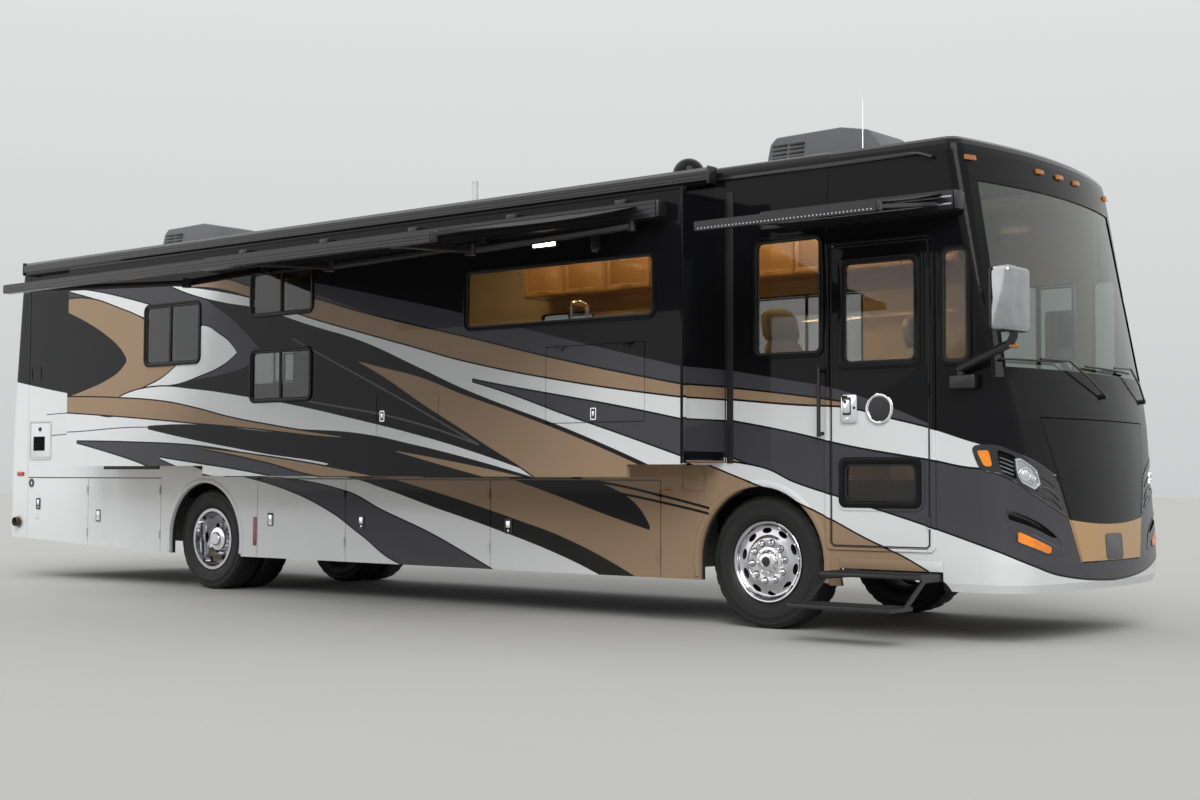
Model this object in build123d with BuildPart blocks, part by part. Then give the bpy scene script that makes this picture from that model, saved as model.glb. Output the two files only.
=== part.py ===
from build123d import *
import os
from math import cos, radians, sin, sqrt

os.makedirs("parts", exist_ok=True)

# Axes: +X forward, +Y left, +Z up; origin on the ground under the middle of the body

# Wheels and axles
FRONT_AXLE_X = 3950
WHEELBASE = 6560
REAR_AXLE_X = FRONT_AXLE_X - WHEELBASE
TYRE_R = 490
TYRE_W = 286
TYRE_OUTER_Y = 1140
TWIN_PITCH = 330
RIM_R = 298
RIM_SEAT_R = 284
KINGPIN_Y = 900

# Body shell
HALF_W = 1220
WALL_T = 50
ROOF_Z = 3450
ROOF_R = 110
ROOF_EDGE_Z = ROOF_Z - ROOF_R
ROOF_T = 60
WAIST_Z = 1090
FLOOR_T = 50
CAP_SEAM_X = FRONT_AXLE_X + 580
CAP_T = 36
REAR_SEAM_X = FRONT_AXLE_X - 9700
REAR_END_X = FRONT_AXLE_X - 10080
REAR_CORNER_R = 100
NOSE_ARC_R = 4760
JOINT_GAP = 8

# Skirts
SKIRT_Z0 = 340
SKIRT_T = 28
SKIRT_FRAME_GAP = 6
SKIRT_FRAME_T = 34
ARCH_R = 560
ARCH_Z = 485

# Slide-out room
SLIDE_OUT_Y = 1775
SLIDE_X0 = FRONT_AXLE_X - 8100
SLIDE_X1 = FRONT_AXLE_X - 280
SLIDE_LOW_X0 = FRONT_AXLE_X - 5860
SLIDE_LOW_X1 = FRONT_AXLE_X - 800
SLIDE_Z_LOW = 1107
SLIDE_Z_END = 1200
SLIDE_TOP_Z = 3213
SLIDE_FACE_T = 40
SLIDE_LIP = 30
SLIDE_BOX_Z0 = 1225
SLIDE_BOX_Z1 = 3180
SLIDE_BOX_T = 40
SLIDE_BOX_Y = 1130
SLIDE_OPENING_GAP = 10

# Entry door
DOOR_X0 = FRONT_AXLE_X + 608
DOOR_X1 = FRONT_AXLE_X + 1402
DOOR_Z0 = 623
DOOR_Z1 = 2747
DOOR_T = 45

# Entry steps
STEP_X0 = FRONT_AXLE_X + 690
STEP_X1 = FRONT_AXLE_X + 1480
STEP_CLEAR = 12

# Hinges: pin outside the skin, near the edge of the leaf it carries
HINGE_OUT = 12
HINGE_IN = 4
HINGE_R = 9
HINGE_PIN_R = 5
HINGE_HALF = 20
HINGE_END = 40
RUN_GAP = 0.5
PIN_GAP = 0.3
SEAT_GAP = 0.3

# Glass
PANE_T = 8
PANE_IN = 6
FRAME_W = 26
FRAME_PROUD = 7
CORNER_R = 45

# Front cap levels: height, nose, half width, corner radius
CAP_ROWS = (
    (345, 2148, 1196, 290),
    (400, 2172, 1214, 300),
    (540, 2181, 1220, 300),
    (830, 2161, 1220, 290),
    (1180, 2134, 1220, 270),
    (1510, 2104, 1220, 200),
    (1780, 2060, 1220, 140),
    (3340, 1768, 1220, 110),
    (3382, 1756, 1212, 104),
    (3418, 1730, 1188, 96),
    (3442, 1694, 1152, 88),
    (3450, 1650, 1110, 80),
)

# Rear cap levels: height, distance in from the rear end, half width
REAR_ROWS = (
    (430, 0, 1220),
    (1090, 0, 1220),
    (1700, 18, 1220),
    (3050, 140, 1220),
    (3340, 178, 1220),
    (3382, 186, 1212),
    (3418, 202, 1188),
    (3442, 228, 1152),
    (3450, 262, 1110),
)

# Window openings: x0, x1, z0, z1 on the outer face, x ahead of the front axle
SLIDE_WINDOWS = (
    (-6765, -5940, 2180, 2722),
    (-5160, -4345, 2560, 2926),
    (-5155, -4360, 1790, 2218),
    (-2455, -557, 2295, 2735),
)
WALL_WINDOW = (-30, 526, 2003, 2828)
CAP_WINDOW = (1505, 1685, 1900, 2655)
DRIVER_WINDOW = (700, 1370, 1900, 2655)
LEFT_WINDOWS = (
    (-8900, -8100, 2180, 2722),
    (-6900, -5900, 2180, 2722),
    (-4300, -3600, 2295, 2735),
    (-2455, -557, 2003, 2735),
)
DOOR_WINDOWS = (
    (686, 1333, 1872, 2660),
    (688, 1330, 905, 1243),
)

# Baggage doors: x0, x1 ahead of the front axle, z0 at the rear and front edges
RIGHT_BAYS = (
    ("right_bay_door_1", -9692, -8544, 424, 380),
    ("right_bay_door_2", -8536, -7274, 380, 340),
    ("right_bay_door_3", -5742, -4508, 340, 340),
    ("right_bay_door_4", -4500, -2711, 340, 340),
    ("right_bay_door_5", -2703, -917, 340, 340),
)
LEFT_BAYS = (
    ("left_bay_door_1", -9692, -8544, 424, 380),
    ("left_bay_door_2", -8536, -7274, 380, 340),
    ("left_bay_door_3", -5742, -3334, 340, 340),
    ("left_bay_door_4", -3326, -917, 340, 340),
)
BAY_Z1 = 1078

# Hood outline on the front: half width, height
HOOD_TOP = (844, 1512)
HOOD_LOW = (481, 540)


def block(x0, x1, y0, y1, z0, z1, mode=Mode.ADD):
    with Locations(((x0 + x1) / 2, (y0 + y1) / 2, (z0 + z1) / 2)):
        Box(abs(x1 - x0), abs(y1 - y0), abs(z1 - z0), mode=mode)


def rod_x(y, z, r, x0, x1, mode=Mode.ADD):
    with Locations(Location(((x0 + x1) / 2, y, z), (0, 90, 0))):
        Cylinder(r, abs(x1 - x0), mode=mode)


def rod_y(x, z, r, y0, y1, mode=Mode.ADD):
    with Locations(Location((x, (y0 + y1) / 2, z), (90, 0, 0))):
        Cylinder(r, abs(y1 - y0), mode=mode)


def rod_z(x, y, r, z0, z1, mode=Mode.ADD):
    with Locations((x, y, (z0 + z1) / 2)):
        Cylinder(r, abs(z1 - z0), mode=mode)


def strut(p, q, w, h, mode=Mode.ADD):
    # Rounded bar from p to q
    line = Vector(*q) - Vector(*p)
    side = Vector(0, 0, 1).cross(line)
    if side.length < 1:
        side = Vector(1, 0, 0)
    with BuildSketch(Plane(origin=p, x_dir=side, z_dir=line)) as section:
        RectangleRounded(w, h, min(w, h) * 0.45)
    extrude(section.sketch, amount=line.length, mode=mode)


def side_panel(x0, x1, z0, z1, r, y0, y1, mode=Mode.ADD):
    # Rounded rectangle in the XZ plane, from y0 to y1
    middle = ((x0 + x1) / 2, min(y0, y1), (z0 + z1) / 2)
    with BuildSketch(Plane(origin=middle, x_dir=(1, 0, 0), z_dir=(0, 1, 0))) as section:
        RectangleRounded(abs(x1 - x0), abs(z1 - z0), r)
    extrude(section.sketch, amount=abs(y1 - y0), mode=mode)


def side_profile(points, y0, y1, mode=Mode.ADD):
    # Polygon of (x, z) points, from y0 to y1
    with BuildSketch(Plane(origin=(0, max(y0, y1), 0), x_dir=(1, 0, 0), z_dir=(0, -1, 0))) as section:
        with BuildLine():
            Polyline(*points, close=True)
        make_face()
    extrude(section.sketch, amount=abs(y1 - y0), mode=mode)


def front_profile(points, x0, x1, mode=Mode.ADD):
    # Polygon of (y, z) points, from x0 to x1
    with BuildSketch(Plane(origin=(min(x0, x1), 0, 0), x_dir=(0, 1, 0), z_dir=(1, 0, 0))) as section:
        with BuildLine():
            Polyline(*points, close=True)
        make_face()
    extrude(section.sketch, amount=abs(x1 - x0), mode=mode)


def door_hinge(edge_x, side, levels):
    # Moving knuckles of a door hinged at its front edge, pin holes cut
    pin_x = edge_x - HINGE_IN
    pin_y = side * (HALF_W + HINGE_OUT)
    for z in levels:
        rod_z(pin_x, pin_y, HINGE_R, z - HINGE_HALF, z + HINGE_HALF)
        block(pin_x - 26, pin_x, side * HALF_W, pin_y, z - HINGE_HALF, z + HINGE_HALF)
        rod_z(pin_x, pin_y, HINGE_PIN_R + PIN_GAP, z - HINGE_HALF - 1, z + HINGE_HALF + 1, Mode.SUBTRACT)


def frame_hinge(edge_x, side, levels, inner_y, plate_x):
    # Fixed knuckles and pins for the same hinges, on plates reaching in through the gap
    pin_x = edge_x - HINGE_IN
    pin_y = side * (HALF_W + HINGE_OUT)
    for z in levels:
        rod_z(pin_x, pin_y, HINGE_PIN_R, z - HINGE_END, z + HINGE_END)
        for end in (-1, 1):
            z0 = z + end * (HINGE_HALF + RUN_GAP)
            z1 = z + end * HINGE_END
            rod_z(pin_x, pin_y, HINGE_R, z0, z1)
            block(edge_x + 2.5, plate_x, pin_y, side * inner_y, z0, z1)


def lid_hinge(pin_x, pin_z, body_x, places):
    # Moving knuckles of a lid hinged at its top edge along Y
    for y in places:
        rod_y(pin_x, pin_z, HINGE_R, y - HINGE_HALF, y + HINGE_HALF)
        block(pin_x, body_x, y - HINGE_HALF, y + HINGE_HALF, pin_z - 26, pin_z)
        rod_y(pin_x, pin_z, HINGE_PIN_R + PIN_GAP, y - HINGE_HALF - 1, y + HINGE_HALF + 1, Mode.SUBTRACT)


def lid_hinge_seat(pin_x, pin_z, body_x, places):
    # Fixed knuckles and pins of the same lid
    for y in places:
        rod_y(pin_x, pin_z, HINGE_PIN_R, y - HINGE_END, y + HINGE_END)
        for end in (-1, 1):
            y0 = y + end * (HINGE_HALF + RUN_GAP)
            y1 = y + end * HINGE_END
            rod_y(pin_x, pin_z, HINGE_R, y0, y1)
            block(pin_x, body_x, y0, y1, pin_z + HINGE_IN + 2.5, pin_z + HINGE_IN + JOINT_GAP + 0.5)


def cap_section(z, nose, half, r, back_x):
    # Plan outline of the front cap: straight sides, corner arcs and one wide nose arc
    nose_x = FRONT_AXLE_X + nose
    centre_x = nose_x - NOSE_ARC_R
    corner_y = half - r
    corner_x = centre_x + sqrt((NOSE_ARC_R - r) ** 2 - corner_y ** 2)
    scale = NOSE_ARC_R / (NOSE_ARC_R - r)
    touch_x = centre_x + (corner_x - centre_x) * scale
    touch_y = corner_y * scale
    mid_x = corner_x + r * cos(radians(40))
    mid_y = corner_y + r * sin(radians(40))
    with BuildSketch(Plane.XY.offset(z)) as section:
        with BuildLine():
            Line((back_x, -half), (corner_x, -half))
            ThreePointArc((corner_x, -half), (mid_x, -mid_y), (touch_x, -touch_y))
            ThreePointArc((touch_x, -touch_y), (nose_x, 0), (touch_x, touch_y))
            ThreePointArc((touch_x, touch_y), (mid_x, mid_y), (corner_x, half))
            Line((corner_x, half), (back_x, half))
            Line((back_x, half), (back_x, -half))
        make_face()
    return section.sketch


def cap_body(inset, back_x, mode=Mode.ADD):
    sections = []
    for z, nose, half, r in CAP_ROWS:
        level = z
        if z > CAP_ROWS[6][0]:
            level = z - inset * (z - 1780) / 1670
        if z == CAP_ROWS[0][0] and inset > 0:
            level = z - 1
        sections.append(cap_section(level, nose - inset, half - inset, max(r - inset, 30), back_x))
    loft(sections, ruled=True, mode=mode)


def rear_body(inset, front_x, mode=Mode.ADD):
    sections = []
    r = REAR_CORNER_R - inset
    for z, rake, half in REAR_ROWS:
        level = z
        if z > 3000:
            level = z - inset
        if z == REAR_ROWS[0][0] and inset > 0:
            level = z - 1
        back_x = REAR_END_X + rake + inset
        side = half - inset
        corner = r * (1 - cos(radians(45)))
        with BuildSketch(Plane.XY.offset(level)) as section:
            with BuildLine():
                Line((front_x, -side), (back_x + r, -side))
                ThreePointArc(
                    (back_x + r, -side),
                    (back_x + corner, -side + corner),
                    (back_x, -side + r),
                )
                Line((back_x, -side + r), (back_x, side - r))
                ThreePointArc(
                    (back_x, side - r),
                    (back_x + corner, side - corner),
                    (back_x + r, side),
                )
                Line((back_x + r, side), (front_x, side))
                Line((front_x, side), (front_x, -side))
            make_face()
        sections.append(section.sketch)
    loft(sections, ruled=True, mode=mode)


def hood_outline(grow):
    top_y = HOOD_TOP[0] + grow
    top_z = HOOD_TOP[1] + grow
    low_y = HOOD_LOW[0] + grow
    low_z = HOOD_LOW[1] - grow
    return ((-top_y, top_z), (top_y, top_z), (low_y, low_z), (-low_y, low_z))


def windshield_outline(shrink):
    low_y = 1204 - shrink
    top_y = 1142 - shrink
    low_z = 1778 + shrink
    top_z = 3252 - shrink
    return ((-low_y, low_z), (low_y, low_z), (top_y, top_z), (-top_y, top_z))


def frame_ring(x0, x1, z0, z1, y_face, out, mode=Mode.ADD):
    # Window frame lining its opening and standing proud of the face; out is the outward sign of Y
    side_panel(x0 - FRAME_W, x1 + FRAME_W, z0 - FRAME_W, z1 + FRAME_W, CORNER_R + FRAME_W,
               y_face, y_face + out * FRAME_PROUD, mode)


# Side walls with the slide-out's opening and the windows
with BuildPart() as side_walls:
    block(REAR_SEAM_X, CAP_SEAM_X, -HALF_W, -HALF_W + WALL_T, WAIST_Z, ROOF_EDGE_Z)
    block(REAR_SEAM_X, CAP_SEAM_X, HALF_W - WALL_T, HALF_W, WAIST_Z, ROOF_EDGE_Z)
    block(
        SLIDE_X0 + SLIDE_LIP - SLIDE_OPENING_GAP,
        SLIDE_X1 - SLIDE_LIP + SLIDE_OPENING_GAP,
        -HALF_W - 1,
        -HALF_W + WALL_T + 1,
        SLIDE_BOX_Z0 - SLIDE_OPENING_GAP,
        SLIDE_BOX_Z1 + SLIDE_OPENING_GAP,
        mode=Mode.SUBTRACT,
    )
    wx0, wx1, wz0, wz1 = WALL_WINDOW
    side_panel(FRONT_AXLE_X + wx0, FRONT_AXLE_X + wx1, wz0, wz1, CORNER_R,
               -HALF_W - 1, -HALF_W + WALL_T + 1, Mode.SUBTRACT)
    for wx0, wx1, wz0, wz1 in LEFT_WINDOWS:
        side_panel(FRONT_AXLE_X + wx0, FRONT_AXLE_X + wx1, wz0, wz1, CORNER_R,
                   HALF_W - WALL_T - 1, HALF_W + 1, Mode.SUBTRACT)
    # Wear pads on the opening's sill, just under the slide-out's floor
    for pad_x in (-3900, -1900, 600, 3000):
        block(pad_x - 60, pad_x + 60, -HALF_W, -HALF_W + WALL_T,
              SLIDE_BOX_Z0 - SLIDE_OPENING_GAP - 1, SLIDE_BOX_Z0 - SEAT_GAP)
side_walls.part.label = "side_walls"
export_step(side_walls.part, "parts/side_walls.step")

# Roof with rounded edges
with BuildPart() as roof:
    with BuildSketch(Plane(origin=(REAR_SEAM_X, 0, 0), x_dir=(0, 1, 0), z_dir=(1, 0, 0))):
        with BuildLine():
            Line((-HALF_W, ROOF_EDGE_Z), (-HALF_W + WALL_T, ROOF_EDGE_Z))
            Line((-HALF_W + WALL_T, ROOF_EDGE_Z), (-HALF_W + WALL_T, ROOF_Z - ROOF_T))
            Line((-HALF_W + WALL_T, ROOF_Z - ROOF_T), (HALF_W - WALL_T, ROOF_Z - ROOF_T))
            Line((HALF_W - WALL_T, ROOF_Z - ROOF_T), (HALF_W - WALL_T, ROOF_EDGE_Z))
            Line((HALF_W - WALL_T, ROOF_EDGE_Z), (HALF_W, ROOF_EDGE_Z))
            ThreePointArc(
                (HALF_W, ROOF_EDGE_Z),
                (HALF_W - ROOF_R * (1 - cos(radians(45))), ROOF_EDGE_Z + ROOF_R * sin(radians(45))),
                (HALF_W - ROOF_R, ROOF_Z),
            )
            Line((HALF_W - ROOF_R, ROOF_Z), (-HALF_W + ROOF_R, ROOF_Z))
            ThreePointArc(
                (-HALF_W + ROOF_R, ROOF_Z),
                (-HALF_W + ROOF_R * (1 - cos(radians(45))), ROOF_EDGE_Z + ROOF_R * sin(radians(45))),
                (-HALF_W, ROOF_EDGE_Z),
            )
        make_face()
    extrude(amount=CAP_SEAM_X - REAR_SEAM_X)
roof.part.label = "roof"
export_step(roof.part, "parts/roof.step")

# Front cap: raked nose with windshield, door, window, lamp and hood openings
DOOR_HINGE_Z = (800, 1700, 2600)
LID_HINGE_Y = (-250, 250)
HOOD_T = 14
HOOD_PIN_X = FRONT_AXLE_X + 1990
HOOD_PIN_Z = 1742
# Gooseneck arms of the hood: radii about the pin, angles where they start and meet the lid
NECK_IN_R = 256
NECK_OUT_R = 280
NECK_BACK = radians(-150)
NECK_LID = radians(-68)
NECK_HALF = 10
LAMP_DIR = radians(50)
LAMP_X_DIR = (sin(LAMP_DIR), cos(LAMP_DIR), 0)
LAMP_Z_DIR = (cos(LAMP_DIR), -sin(LAMP_DIR), 0)
# Corner outlines: distance along the corner plane, height
LAMP_POCKET = (
    (535, 1320), (690, 1309), (870, 1257), (1040, 1177), (1110, 1120),
    (1140, 960), (1060, 962), (980, 982), (742, 1100), (594, 1162),
)
LOWER_POCKET = ((727, 890), (790, 885), (972, 811), (1110, 715), (1150, 620), (1064, 608), (788, 712))


def corner_prism(outline, side, depth0, depth1, mode=Mode.ADD):
    # Outline on the corner plane of one side, swept from depth0 to depth1 along the plane's normal
    x_dir = (LAMP_X_DIR[0], -side * LAMP_X_DIR[1], 0)
    z_dir = (LAMP_Z_DIR[0], -side * LAMP_Z_DIR[1], 0)
    base = (FRONT_AXLE_X + z_dir[0] * depth0, z_dir[1] * depth0, 0)
    plane = Plane(origin=base, x_dir=x_dir, z_dir=z_dir)
    flip = 1 if plane.y_dir.Z > 0 else -1
    with BuildSketch(plane) as section:
        with BuildLine():
            Polyline(*[(s, flip * z) for s, z in outline], close=True)
        make_face()
    extrude(section.sketch, amount=depth1 - depth0, mode=mode)


with BuildPart() as cap_skin:
    cap_body(0, CAP_SEAM_X)
    cap_body(CAP_T, CAP_SEAM_X - 10, Mode.SUBTRACT)
with BuildPart() as front_cap:
    add(cap_skin.part)
    front_profile(windshield_outline(0), FRONT_AXLE_X + 1500, FRONT_AXLE_X + 2300, Mode.SUBTRACT)
    front_profile(hood_outline(JOINT_GAP), FRONT_AXLE_X + 1700, FRONT_AXLE_X + 2300, Mode.SUBTRACT)
    block(DOOR_X0 - JOINT_GAP, DOOR_X1 + JOINT_GAP, -HALF_W - 1, -HALF_W + 80,
          DOOR_Z0 - JOINT_GAP, DOOR_Z1 + JOINT_GAP, mode=Mode.SUBTRACT)
    # Notch in the lower edge for the entry steps
    block(STEP_X0 - STEP_CLEAR, STEP_X1 + STEP_CLEAR, -HALF_W - 1, -HALF_W + 80, 300, 545, mode=Mode.SUBTRACT)
    wx0, wx1, wz0, wz1 = CAP_WINDOW
    for side in (-1, 1):
        side_panel(FRONT_AXLE_X + wx0, FRONT_AXLE_X + wx1, wz0, wz1, CORNER_R,
                   side * (HALF_W - 80), side * (HALF_W + 1), Mode.SUBTRACT)
    wx0, wx1, wz0, wz1 = DRIVER_WINDOW
    side_panel(FRONT_AXLE_X + wx0, FRONT_AXLE_X + wx1, wz0, wz1, CORNER_R,
               HALF_W - 80, HALF_W + 1, Mode.SUBTRACT)
    for side in (-1, 1):
        corner_prism(LAMP_POCKET, side, 1500, 2600, Mode.SUBTRACT)
        corner_prism(LOWER_POCKET, side, 1500, 2600, Mode.SUBTRACT)
    frame_hinge(DOOR_X1, -1, DOOR_HINGE_Z, HALF_W - 30, DOOR_X1 + JOINT_GAP + 0.5)
    # Brackets and pins of the hood's gooseneck arms, behind the skin
    for y in LID_HINGE_Y:
        rod_y(HOOD_PIN_X, HOOD_PIN_Z, HINGE_PIN_R, y - HINGE_HALF, y + HINGE_HALF)
        for end in (-1, 1):
            y0 = y + end * (NECK_HALF + RUN_GAP)
            rod_y(HOOD_PIN_X, HOOD_PIN_Z, HINGE_R, y0, y + end * HINGE_HALF)
            block(HOOD_PIN_X, HOOD_PIN_X + 45, y0, y + end * HINGE_HALF, HOOD_PIN_Z - HINGE_R, HOOD_PIN_Z + HINGE_R)
front_cap.part.label = "front_cap"
export_step(front_cap.part, "parts/front_cap.step")

# Lamp housings filling the corner pockets behind the skin
with BuildPart() as pockets:
    for side in (-1, 1):
        corner_prism(LAMP_POCKET, side, 1500, 2600)
        corner_prism(LOWER_POCKET, side, 1500, 2600)
with BuildPart() as lamp_housings:
    cap_body(14, CAP_SEAM_X)
    cap_body(70, CAP_SEAM_X - 10, Mode.SUBTRACT)
    add(pockets.part, mode=Mode.INTERSECT)
lamp_housings.part.label = "lamp_housings"
export_step(lamp_housings.part, "parts/lamp_housings.step")

# Windshield pane
with BuildPart() as windshield:
    cap_body(PANE_IN, CAP_SEAM_X)
    cap_body(PANE_IN + PANE_T, CAP_SEAM_X - 10, Mode.SUBTRACT)
    front_profile(windshield_outline(0.5), FRONT_AXLE_X + 1500, FRONT_AXLE_X + 2300, Mode.INTERSECT)
windshield.part.label = "windshield"
export_step(windshield.part, "parts/windshield.step")



def neck_point(r, angle):
    return (HOOD_PIN_X + r * cos(angle), HOOD_PIN_Z + r * sin(angle))


def neck_arm(y):
    # Curved arm from the pin, round the skin's lower edge, to the back of the lid
    middle = (NECK_BACK + NECK_LID) / 2
    with BuildSketch(Plane(origin=(0, y + NECK_HALF, 0), x_dir=(1, 0, 0), z_dir=(0, -1, 0))) as section:
        with BuildLine():
            Line(neck_point(NECK_IN_R, NECK_BACK), neck_point(NECK_OUT_R, NECK_BACK))
            ThreePointArc(neck_point(NECK_OUT_R, NECK_BACK), neck_point(NECK_OUT_R, middle),
                          neck_point(NECK_OUT_R, NECK_LID))
            Line(neck_point(NECK_OUT_R, NECK_LID), neck_point(NECK_IN_R, NECK_LID))
            ThreePointArc(neck_point(NECK_IN_R, NECK_LID), neck_point(NECK_IN_R, middle),
                          neck_point(NECK_IN_R, NECK_BACK))
        make_face()
    extrude(section.sketch, amount=2 * NECK_HALF)
    back_x, back_z = neck_point((NECK_IN_R + NECK_OUT_R) / 2, NECK_BACK)
    strut((HOOD_PIN_X, y, HOOD_PIN_Z), (back_x, y, back_z), 2 * NECK_HALF, NECK_OUT_R - NECK_IN_R)
    rod_y(HOOD_PIN_X, HOOD_PIN_Z, HINGE_R, y - NECK_HALF, y + NECK_HALF)
    rod_y(HOOD_PIN_X, HOOD_PIN_Z, HINGE_PIN_R + PIN_GAP, y - NECK_HALF - 1, y + NECK_HALF + 1, Mode.SUBTRACT)


# Hood lid with its lower panel, on two gooseneck arms
with BuildPart() as hood:
    cap_body(0, CAP_SEAM_X)
    cap_body(HOOD_T, CAP_SEAM_X - 10, Mode.SUBTRACT)
    front_profile(hood_outline(0), FRONT_AXLE_X + 1700, FRONT_AXLE_X + 2300, Mode.INTERSECT)
    for y in LID_HINGE_Y:
        neck_arm(y)
hood.part.label = "hood"
export_step(hood.part, "parts/hood.step")

# Rear cap with the engine hatch opening
HATCH_HALF = 760
HATCH_Z0 = 640
HATCH_Z1 = 1560
HATCH_PIN_X = REAR_END_X + 14 - HINGE_OUT
HATCH_PIN_Z = HATCH_Z1 - JOINT_GAP - HINGE_IN
TAIL_LAMPS = ((905, 1060, 1180, 1560), (905, 1060, 700, 860))
with BuildPart() as rear_skin:
    rear_body(0, REAR_SEAM_X)
    rear_body(CAP_T, REAR_SEAM_X + 10, Mode.SUBTRACT)
with BuildPart() as rear_cap:
    add(rear_skin.part)
    block(REAR_END_X - 50, REAR_END_X + 150, -HATCH_HALF, HATCH_HALF, HATCH_Z0, HATCH_Z1, Mode.SUBTRACT)
    lid_hinge_seat(HATCH_PIN_X, HATCH_PIN_Z, HATCH_PIN_X + 35, LID_HINGE_Y)
rear_cap.part.label = "rear_cap"
export_step(rear_cap.part, "parts/rear_cap.step")

# Engine hatch
with BuildPart() as engine_hatch:
    add(rear_skin.part)
    block(REAR_END_X - 50, REAR_END_X + 100, -HATCH_HALF + JOINT_GAP, HATCH_HALF - JOINT_GAP,
          HATCH_Z0 + JOINT_GAP, HATCH_Z1 - JOINT_GAP, Mode.INTERSECT)
    lid_hinge(HATCH_PIN_X, HATCH_PIN_Z, HATCH_PIN_X + 20, LID_HINGE_Y)
engine_hatch.part.label = "engine_hatch"
export_step(engine_hatch.part, "parts/engine_hatch.step")

# Floor with step well, well step and raised bed platform over the engine
FLOOR_HALF = HALF_W - SKIRT_T - SKIRT_FRAME_GAP - SKIRT_FRAME_T
WELL_X0 = DOOR_X0 - 12
WELL_X1 = DOOR_X1 + 12
WELL_Y = 580
with BuildPart() as floor:
    block(REAR_SEAM_X - 280, FRONT_AXLE_X + 1740, -FLOOR_HALF, FLOOR_HALF, WAIST_Z - FLOOR_T, WAIST_Z)
    block(WELL_X0, WELL_X1, -FLOOR_HALF - 1, -WELL_Y, WAIST_Z - FLOOR_T - 1, WAIST_Z + 1, Mode.SUBTRACT)
    block(WELL_X0 - 15, WELL_X1 + 15, -FLOOR_HALF, -WELL_Y + 20, 632, 652)
    block(WELL_X0 - 15, WELL_X0, -FLOOR_HALF, -WELL_Y + 20, 652, WAIST_Z - FLOOR_T)
    block(WELL_X1, WELL_X1 + 15, -FLOOR_HALF, -WELL_Y + 20, 652, WAIST_Z - FLOOR_T)
    block(WELL_X0, WELL_X1, -WELL_Y, -WELL_Y + 20, 652, WAIST_Z - FLOOR_T)
    block(WELL_X0, WELL_X1, -WELL_Y - 300, -WELL_Y, 850, 870)
    block(WELL_X0, WELL_X1, -WELL_Y - 300, -WELL_Y - 285, 652, 850)
    block(REAR_SEAM_X - 280, FRONT_AXLE_X - 8300, -600, FLOOR_HALF, WAIST_Z - 1, 1500)
    block(REAR_SEAM_X - 281, FRONT_AXLE_X - 8320, -580, FLOOR_HALF - 20, WAIST_Z - FLOOR_T - 1, 1480,
          Mode.SUBTRACT)
floor.part.label = "floor"
export_step(floor.part, "parts/floor.step")

# Skirts: fixed outer panels round the wheel arches and frames behind the baggage doors
BAY_HINGE_Z = (520, 960)
PANEL_T = SKIRT_T + SKIRT_FRAME_GAP + SKIRT_FRAME_T
SKIRT_TOP = WAIST_Z
with BuildPart() as skirts:
    for side in (-1, 1):
        outer = side * HALF_W
        back = side * (HALF_W - PANEL_T)
        frame = side * (HALF_W - SKIRT_T - SKIRT_FRAME_GAP)
        # Rear arch panel, front arch panel, corner posts
        block(FRONT_AXLE_X - 7266, FRONT_AXLE_X - 5750, outer, back, SKIRT_Z0, SKIRT_TOP)
        block(FRONT_AXLE_X - 909, CAP_SEAM_X, outer, back, SKIRT_Z0, SKIRT_TOP)
        # Top rails behind the doors
        block(REAR_SEAM_X, FRONT_AXLE_X - 7266, frame, back, 1020, SKIRT_TOP)
        block(FRONT_AXLE_X - 5750, FRONT_AXLE_X - 909, frame, back, 1020, SKIRT_TOP)
        # Sills
        side_profile(
            (
                (REAR_SEAM_X, 436),
                (FRONT_AXLE_X - 8540, 390),
                (FRONT_AXLE_X - 7266, 350),
                (FRONT_AXLE_X - 7266, 400),
                (FRONT_AXLE_X - 8540, 440),
                (REAR_SEAM_X, 486),
            ),
            frame, back,
        )
        block(FRONT_AXLE_X - 5750, FRONT_AXLE_X - 909, frame, back, 350, 400)
        # Posts at the door seams
        bays = RIGHT_BAYS if side < 0 else LEFT_BAYS
        for name, bx0, bx1, z0, z1 in bays:
            block(FRONT_AXLE_X + bx1 - 26, FRONT_AXLE_X + bx1 + 8, frame, back, 440, 1030)
            frame_hinge(FRONT_AXLE_X + bx1, side, BAY_HINGE_Z, abs(frame) - 1, FRONT_AXLE_X + bx1 + 5.5)
        block(REAR_SEAM_X, REAR_SEAM_X + 40, frame, back, 480, 1030)
        block(FRONT_AXLE_X - 5750, FRONT_AXLE_X - 5716, frame, back, 380, 1030)
        # Wheel arches
        for arch_x in (FRONT_AXLE_X + 20, REAR_AXLE_X + 10):
            rod_y(arch_x, ARCH_Z, ARCH_R, side * (HALF_W + 1), side * (HALF_W - PANEL_T - 1), Mode.SUBTRACT)
            block(arch_x - ARCH_R, arch_x + ARCH_R, side * (HALF_W + 1), side * (HALF_W - PANEL_T - 1),
                  SKIRT_Z0 - 10, ARCH_Z, Mode.SUBTRACT)
skirts.part.label = "skirts"
export_step(skirts.part, "parts/skirts.step")

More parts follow.
